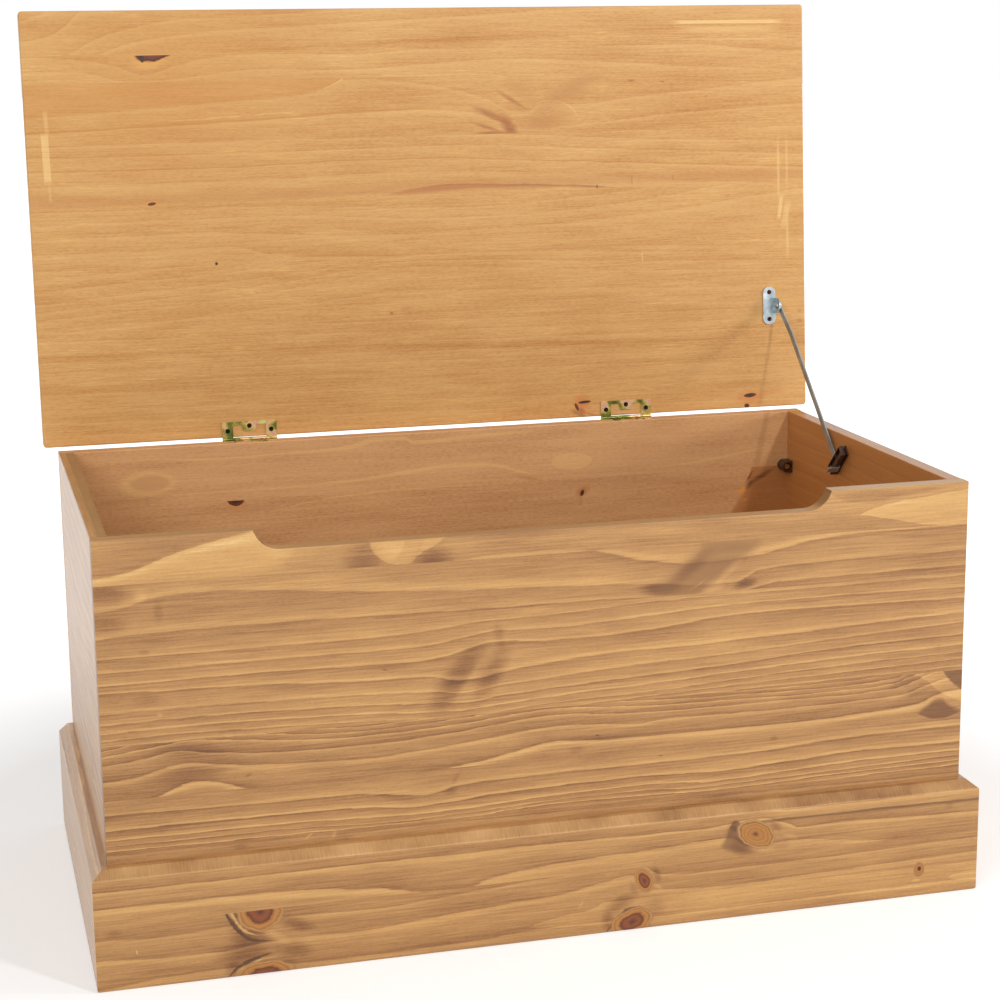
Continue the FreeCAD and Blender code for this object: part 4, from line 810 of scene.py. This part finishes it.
PLINTH_BOARDS = (
    Board(67.5, 0.45, 0.42, start=20, lines=(
        (1, -22, -20),
        (1, 2, 14, (-400, 8), (-345, 10), (-250, 6), (-100, 8), (0, 13), (100, 12)),
        (1, 33, 44, (-400, 29), (-350, 28.5), (-300, 33), (-250, 34), (-215, 32.5), (-150, 37),
         (-50, 44.5), (0, 47.5), (50, 56), (75, 60), (95, 43), (125, 39), (200, 37), (300, 39.5)),
        (1, 53, 60, (-400, 51), (-340, 54), (-280, 57), (-200, 55), (-100, 61), (0, 68), (80, 72),
         (110, 57), (150, 55), (300, 56)),
        (0, 76, 76, (0, 90), (100, 84)),
    )),
    Board(140, 0.48, 0.42, start=40, lines=(
        (1, 44, 50, (-200, 40), (0, 42)),
        (1, 85.5, 64, (-300, 85), (-260, 83), (-230, 81), (-215, 78), (-190, 77), (-170, 73),
         (-140, 67.5), (-100, 66), (-75, 73), (-50, 77), (0, 81.5), (100, 86), (180, 89), (213, 76),
         (250, 79), (300, 74), (350, 68)),
        (1, 103, 89, (0, 103.7), (150, 102), (185, 104), (213, 107), (245, 99), (270, 92), (300, 93),
         (400, 90.5)),
        (1, 118, 115, (0, 119), (200, 120), (250, 113), (300, 113)),
        (0, 140, 140),
    )),
)
LOWER_BOARD = (-10, 67.5)
UPPER_BOARD = (67.5, 114)
PLINTH_KNOTS = (
    Knot((-306, 66), (20, 18), -12, RED_KNOT, cut=LOWER_BOARD), Knot((-304, -3), (27, 15), 6, RED_KNOT),
    Knot((213.5, 90), (19.5, 12.5), -28, TAN_KNOT), Knot((91, 53), (8, 12.5), 26, RED_KNOT),
    Knot((78, 9), (20, 12.5), 16, RED_KNOT), Knot((399, 30), (5.4, 7.6), 0, TAN_KNOT),
    Knot((399.5, 31), (2.2, 2.6), 0, DARK_KNOT),
)
PLINTH_STAINS = (
    Stain(-320, 52, 24, 24, -0.34, -30, cut=LOWER_BOARD),
    *stains(
        (-318, 28, 42, 20, -0.36, 8), (-272, 50, 30, 10, -0.3, -22), (-274, 24, 28, 13, -0.28, -14),
        (-290, 38, 20, 7, 0.22, -30), (-334, 8, 12, 12, -0.26, 30), (-282, 8, 16, 14, -0.14),
        (-448, 60, 12, 5, -0.14), (252, 84, 14, 4, 0.14, -20), (105, 58, 6, 12, -0.24, 20),
        (80, 46, 6, 12, -0.14, 24), (64, 30, 26, 11, -0.32, 24), (104, 22, 16, 16, -0.14),
        (52, 12, 10, 14, -0.26, 12), (106, 44, 10, 4, 0.18, -30), (432, 99, 8, 6, -0.14),
        (396, 18, 7, 2, 0.22, 0, 0.6), (-427, 38, 1, 3.4, 0.4, 14, 0.6), (23, 34, 1.6, 8, 0.16, -30),
    ),
    *stains(
        (198, 80, 22, 15, -0.36, -24, 0.8), (186, 98, 8, 12, -0.22, -30), (235, 97, 12, 7, -0.26, -35),
        (240, 74, 16, 8, -0.16),
        cut=UPPER_BOARD,
    ),
)
PLINTH_BANDS = (
    Band(0.62, ((170, 80), (180, 93), (189, 106), (196, 94), (208, 79), (240, 67)),
         ((170, 80), (184, 70), (206, 65), (240, 67)), (10, 9), UPPER_BOARD, (112, 72, 40)),
    strip(0.8, ((176, 90, 90), (185, 102, 97), (190, 108, 92), (196, 104, 104)), (2, 4), UPPER_BOARD,
          (104, 66, 36)),
    Band(0.9, ((-345, 80), (-338, 68), (-331, 57), (-323, 46), (-309, 37.5), (-283, 33)),
         ((-345, 80), (-340, 66), (-334, 53.5), (-325, 42.5), (-310, 34), (-283, 33)), cut=LOWER_BOARD,
         tint=(92, 58, 32)),
    Band(0.7, ((-341, 80), (-333, 68), (-326, 55), (-317, 46), (-303, 39.5)),
         ((-341, 80), (-335, 66), (-328, 53), (-319, 44), (-303, 39.5)), cut=LOWER_BOARD,
         tint=(222, 176, 110)),
    Band(0.85, ((-338, 80), (-330, 68), (-321, 55), (-311, 46.5), (-297, 41)),
         ((-338, 80), (-331.5, 66), (-323, 52.5), (-312.5, 44), (-297, 41)), cut=LOWER_BOARD,
         tint=(100, 64, 36)),
    Band(0.9, ((-342, -3), (-327, 13.5), (-309, 20), (-289, 22)),
         ((-342, -3), (-326, 9.5), (-308, 16.5), (-289, 22)), tint=(90, 58, 34)),
    Band(0.7, ((-338, -3), (-322, 10.5), (-305, 16.5), (-287, 18)),
         ((-338, -3), (-321, 8), (-305, 14.5), (-287, 18)), tint=(222, 176, 110)),
    Band(0.7, ((-336, -3), (-320, 8), (-304, 14), (-286, 15)),
         ((-336, -3), (-319, 5), (-304, 11.5), (-286, 15)), tint=(112, 72, 40)),
    Band(0.85, ((47, -3), (56, 11), (66, 20), (78, 26), (96, 22)),
         ((47, -3), (58, 7), (68, 16), (80, 21.5), (96, 22)), tint=(116, 80, 48)),
    Band(0.12, ((-460, 85), (-300, 85), (-230, 81), (-190, 77), (-140, 68)),
         ((-460, 79), (-300, 76), (-230, 70), (-140, 67)), (1, 4), UPPER_BOARD),
    Band(0.2, ((-36, 16), (0, 24), (30, 27), (47, 34)), ((-36, 16), (0, 12), (47, 10)), (1, 1)),
    strip(0.2, ((430, 17, 17), (445, 22, 13), (466, 23, 11)), (1, 1)),
    strip(0.14, ((250, 79, 79), (300, 78, 73), (352, 68, 68)), (1, 1)),
)
SLOPE_START = 114.0
SLOPE_WOOD = shades(
    (0.0, 110, 72, 40), (0.25, 152, 106, 62), (0.5, 190, 144, 90), (0.75, 214, 170, 114),
    (1.0, 240, 204, 150),
)


def worked_slope(graph, along, across, depth, colour):
    """The plinth's slope, where the cutter went across the grain."""
    marks = graph.noise(graph.vector(along * 0.6, across * 0.05), 1.0, 4.0, 0.7)
    clouds = graph.noise(graph.vector(along * 0.02, across * 0.03), 1.0, 3.0)
    value = marks * 0.5 + clouds * 0.8 + 0.48
    value = graph.fade(along, 100, 450, 0.0, -0.14) + value
    value = graph.fade(across, SLOPE_START, SLOPE_START + 1.4, 0.18, 0.0) + value
    worked = graph.ramp(value, SLOPE_WOOD)
    return graph.blend(graph.fade(across, SLOPE_START - 0.4, SLOPE_START + 0.4), colour, worked)


def rim_with_painted_light(graph, along, across, depth, colour):
    """The front's faces from the saw: its rim, paler at the right as a painted sheen, and the scoop's
    ends, dark as end grain and darker still with painted shade.
    """
    ends, up = graph.facing()
    # Upward faces: the rim's colour, with a painted sheen that makes it paler towards the right.
    sawn_and_sheen = graph.blend(graph.fade(along, 250, 330), srgb(174, 131, 87), srgb(196, 159, 116))
    colour = graph.blend(graph.fade(up, 0.4, 0.8, 0.0, 0.8), colour, sawn_and_sheen)
    # End faces: end grain, darkened further as painted shade.
    return graph.blend(graph.fade(ends, 0.3, 0.7, 0.0, 0.85), colour, srgb(132, 92, 58))


def inner_face_with_painted_light(tint):
    """A side panel's inner face, where the figure hardly shows under a tint. The tints paint light: the
    left face's dark one is painted shade, the right face's orange one painted bounce light.
    """
    def edge(graph, along, across, depth, colour):
        inner = graph.fade(graph.math("ABSOLUTE", depth), 6, 9, 0.0, 0.65)
        return graph.blend(inner, colour, srgb(*tint))
    return edge


def wooden_parts():
    dress("front_panel", pine(
        "Front pine", upright_plane(FRONT_Y), FRONT_BOARDS, stains=FRONT_STAINS, bands=FRONT_BANDS,
        pores=0.8, waviness=3.0, edge=rim_with_painted_light,
    ))
    dress("back_panel", pine(
        "Back pine", upright_plane(BACK_Y), BACK_BOARDS, BACK_KNOTS, BACK_STAINS, BACK_BANDS,
        palette=INNER, grain=0.3, waviness=12.0, fine=0.7, shown=(-4, -8), seed=20.0,
    ))
    side_boards = (
        Board(110, 0.5, 0.4, 11.0, 0.02, 1.1), Board(215, 0.46, 0.4, 15.0, -0.02, 4.7),
        Board(330, 0.5, 0.4, 10.0, 0.03, 7.9), Board(446, 0.47, 0.36, 17.0, -0.01, 9.3),
    )
    # The inner tints per side are painted light: painted shade on the left, painted bounce light on the
    # right.
    for node, place, tint, seed in (
        ("left_side_panel", -HALF_WIDTH, (133, 96, 59), 31.0),
        ("right_side_panel", HALF_WIDTH, (190, 123, 59), 43.0),
    ):
        dress(node, pine(
            node.replace("_", " ") + " pine", side_plane(place), side_boards,
            (Knot((150, 170), (9, 7), pull=0.85), Knot((330, 60), (7, 6), colours=RED_KNOT, pull=0.85)),
            swells=(Swell((230, 300), (120, 50), 16), Swell((120, 90), (90, 40), -14)), gloss=0.3,
            edge=inner_face_with_painted_light(tint), seed=seed,
        ))
    dress("plinth_front", pine(
        "Plinth front pine", upright_plane(PLINTH_Y), PLINTH_BOARDS, PLINTH_KNOTS, PLINTH_STAINS,
        PLINTH_BANDS, pores=0.8, waviness=3.0, edge=worked_slope, seed=57.0,
    ))
    side_plinth_boards = (Board(61, 0.5, 0.4, 14.0, 0.02, 3.3), Board(140, 0.52, 0.4, 11.0, 0.0, 5.1))
    for node, place, seed in (("plinth_left", -HALF_WIDTH, 66.0), ("plinth_right", HALF_WIDTH, 79.0)):
        dress(node, pine(
            node.replace("_", " ") + " pine", side_plane(place), side_plinth_boards,
            (Knot((260, 35), (9, 8), pull=0.85),), gloss=0.5, seed=seed,
        ))
    dress("lid_panel", pine(
        "Lid pine", lid_plane, LID_BOARDS, LID_KNOTS, LID_STAINS, LID_BANDS, palette=WARM, flecks=0.6,
        pores=0.3, waviness=5.0, grain=0.5, fine=0.48, seam_lean=0.0045, shown=(12, 8), seed=91.0,
    ))


def hidden_wood():
    """The raw battens, the base, which is plywood, and the dowels."""
    raw_boards = (Board(500, 0.6, 0.3, 6.0, 0.02, 1.9),)
    for plane, seed, nodes in (
        (upright_plane(0), 101.0, ("batten_front", "batten_back")),
        (side_plane(0), 103.0, ("batten_left", "batten_right")),
    ):
        for node in nodes:
            dress(node, pine(node + " pine", plane, raw_boards, seed=seed), 1.0)
    base_boards = (Board(1000, 0.72, 0.3, 34.0, 0.05, 2.3),)
    dress("base_panel", pine(
        "Base plywood", base_plane, base_boards, swells=(Swell((0, 0), (300, 90), 40),),
        waviness=57.0, pores=0.3, seed=111.0,
    ))
    dress("corner_dowels", pine("Dowel wood", side_plane(0), base_boards, pores=0.2))


def speckled(name, stops, scale, roughness, metallic, grain=0.04, stretch=(1, 1, 1), spread=1.5):
    """A material whose colour wanders over a ramp, with fine relief and uneven gloss."""
    graph = material(name)
    place = graph.vector(*(axis * factor for axis, factor in zip(graph.places(), stretch)))
    clouds = graph.noise(place, scale, 3.0)
    fine = graph.noise(place, scale * 14, 3.0, 0.6)
    colour = graph.ramp(clouds * spread + fine * 0.25 + 0.5, stops)
    graph.bump(fine, grain)
    return graph.surface(Base_Color=colour, Roughness=clouds * 0.15 + roughness, Metallic=metallic)


def hardware():
    hinge = speckled("Yellow zinc", shades(
        (0.0, 70, 88, 40), (0.3, 122, 128, 56), (0.5, 190, 168, 92), (0.65, 226, 190, 130),
        (0.8, 220, 160, 146), (1.0, 206, 214, 120),
    ), 0.045, 0.38, 0.9, spread=3.0)
    for side in ("left", "right"):
        for piece in ("lid_leaf", "rim_leaf", "pin"):
            dress(f"hinge_{side}_{piece}", hinge, 0.15)
    black = speckled("Blackened steel", shades((0.0, 18, 15, 14), (1.0, 58, 46, 40)), 0.4, 0.42, 1.0)
    dress("hinge_lid_screws hinge_rim_screws", black, 0.1)
    bright = speckled(
        "Bright zinc", shades((0.0, 140, 154, 160), (0.5, 176, 188, 192), (1.0, 208, 214, 214)),
        0.12, 0.38, 0.9, spread=2.2,
    )
    dress("stay_bracket", bright, 0.3)
    dress("stay_rivet", bright, 0.2)
    bronze = speckled("Bronzed steel", shades((0.0, 44, 22, 18), (1.0, 96, 56, 44)), 0.4, 0.4, 1.0)
    dress("stay_bracket_screws", bronze, 0.1)
    bar = speckled(
        "Drawn zinc", shades((0.0, 126, 132, 132), (0.5, 156, 162, 162), (1.0, 190, 194, 192)),
        0.1, 0.5, 0.5, stretch=(1, 0.4, 0.4),
    )
    dress("stay_bar", bar, 0.35)
    plastic = speckled(
        "Brown plastic", shades((0.0, 46, 24, 18), (0.5, 62, 34, 27), (1.0, 82, 48, 38)),
        0.1, 0.42, 0.0, grain=0.06,
    )
    dress("stay_guide", plastic, 0.4)
    for node in NODES:
        if node.startswith("connector_") and node != "connector_screws":
            dress(node, plastic, 0.8)
    brassy = speckled(
        "Yellow zinc screws", shades((0.0, 150, 120, 60), (1.0, 214, 186, 120)), 0.4, 0.3, 1.0,
    )
    dress("connector_screws stay_guide_screw", brassy, 0.15)
    zinc = speckled("Zinc screws", shades((0.0, 140, 142, 144), (1.0, 206, 208, 208)), 0.4, 0.32, 1.0)
    dress("plinth_screws batten_screws", zinc, 0.15)
    nylon = speckled("Black nylon", shades((0.0, 16, 16, 16), (1.0, 40, 40, 40)), 0.4, 0.5, 0.0)
    dress("stay_washer", nylon, 0.2)


def place_in_scene(name, data):
    thing = bpy.data.objects.new(name, data)
    bpy.context.scene.collection.objects.link(thing)
    return thing


def camera():
    """The photo's own view: 14.7 degrees from the left and 12.2 degrees down."""
    yaw, pitch, roll = (math.radians(angle) for angle in (14.716, 12.234, 0.639))
    forward = Vector((
        math.sin(yaw) * math.cos(pitch), math.cos(yaw) * math.cos(pitch), -math.sin(pitch),
    ))
    level = Vector((math.cos(yaw), -math.sin(yaw), 0))
    down = forward.cross(level)
    right = math.cos(roll) * level + math.sin(roll) * down
    up = math.sin(roll) * level - math.cos(roll) * down
    data = bpy.data.cameras.new("Camera")
    data.lens = 78.49
    data.sensor_width = 36
    data.clip_start = 0.05
    data.clip_end = 60
    place = Vector((-0.5834, FRONT_Y - 2.0182, 0.9118))
    turn = Matrix((right, up, -forward)).transposed().to_4x4()
    thing = place_in_scene("Camera", data)
    thing.matrix_world = Matrix.Translation(place) @ turn
    bpy.context.scene.camera = thing


def softbox(name, travel, distance, size, power):
    """A square lamp whose light travels in a direction, past the middle of the trunk."""
    data = bpy.data.lights.new(name, "AREA")
    data.shape = "SQUARE"
    data.size = size
    data.energy = power
    thing = place_in_scene(name, data)
    direction = Vector(travel).normalized()
    thing.location = Vector((0, 0, HALF_HEIGHT)) - direction * distance
    thing.rotation_mode = "QUATERNION"
    thing.rotation_quaternion = direction.to_track_quat("-Z", "Y")


def light():
    softbox("Front right", (-0.40, 0.74, -0.55), 3.2, 0.22, 25)
    softbox("Far right", (-0.93, 0.40, -0.16), 3.2, 0.45, 26)
    softbox("Front left", (0.55, 0.72, -0.42), 3.4, 1.4, 30)


def seen_directly(graph):
    """1 for what the camera, a gloss or a clear thing sees, and 0 for light."""
    path = graph.node("ShaderNodeLightPath")
    camera_ray, glossy_ray, clear_ray = (
        path.outputs[f"Is {ray} Ray"] for ray in ("Camera", "Glossy", "Transmission")
    )
    return graph.math("MAXIMUM", graph.math("MAXIMUM", camera_ray, glossy_ray), clear_ray)


def surroundings():
    """A white studio that lights the trunk dimly, and a floor that turns white away from it."""
    dimmed, near, far = 0.44, 0.65, 1.3
    world = Graph(bpy.data.worlds.new("Studio"), "BACKGROUND")
    bpy.context.scene.world = world.owner
    world.surface(
        Color=(1, 1, 1, 1), Strength=world.spread(seen_directly(world), 0.0, 1.0, dimmed, 1.0),
    )
    bpy.ops.mesh.primitive_plane_add(size=60)
    floor = bpy.context.object
    floor.name = "Floor"
    graph = material("Floor")
    away = graph.length(graph.own_place())
    glow = seen_directly(graph) * graph.spread(away, near, far, 0.34, 0.95)
    floor.data.materials.append(graph.surface(
        Base_Color=(0.86, 0.86, 0.86, 1), Roughness=1.0, Specular_IOR_Level=0.0,
        Emission_Color=(1, 1, 1, 1), Emission_Strength=glow,
    ))


wooden_parts()
hidden_wood()
hardware()
camera()
light()
surroundings()
view = bpy.context.scene.view_settings
view.view_transform = "Standard"
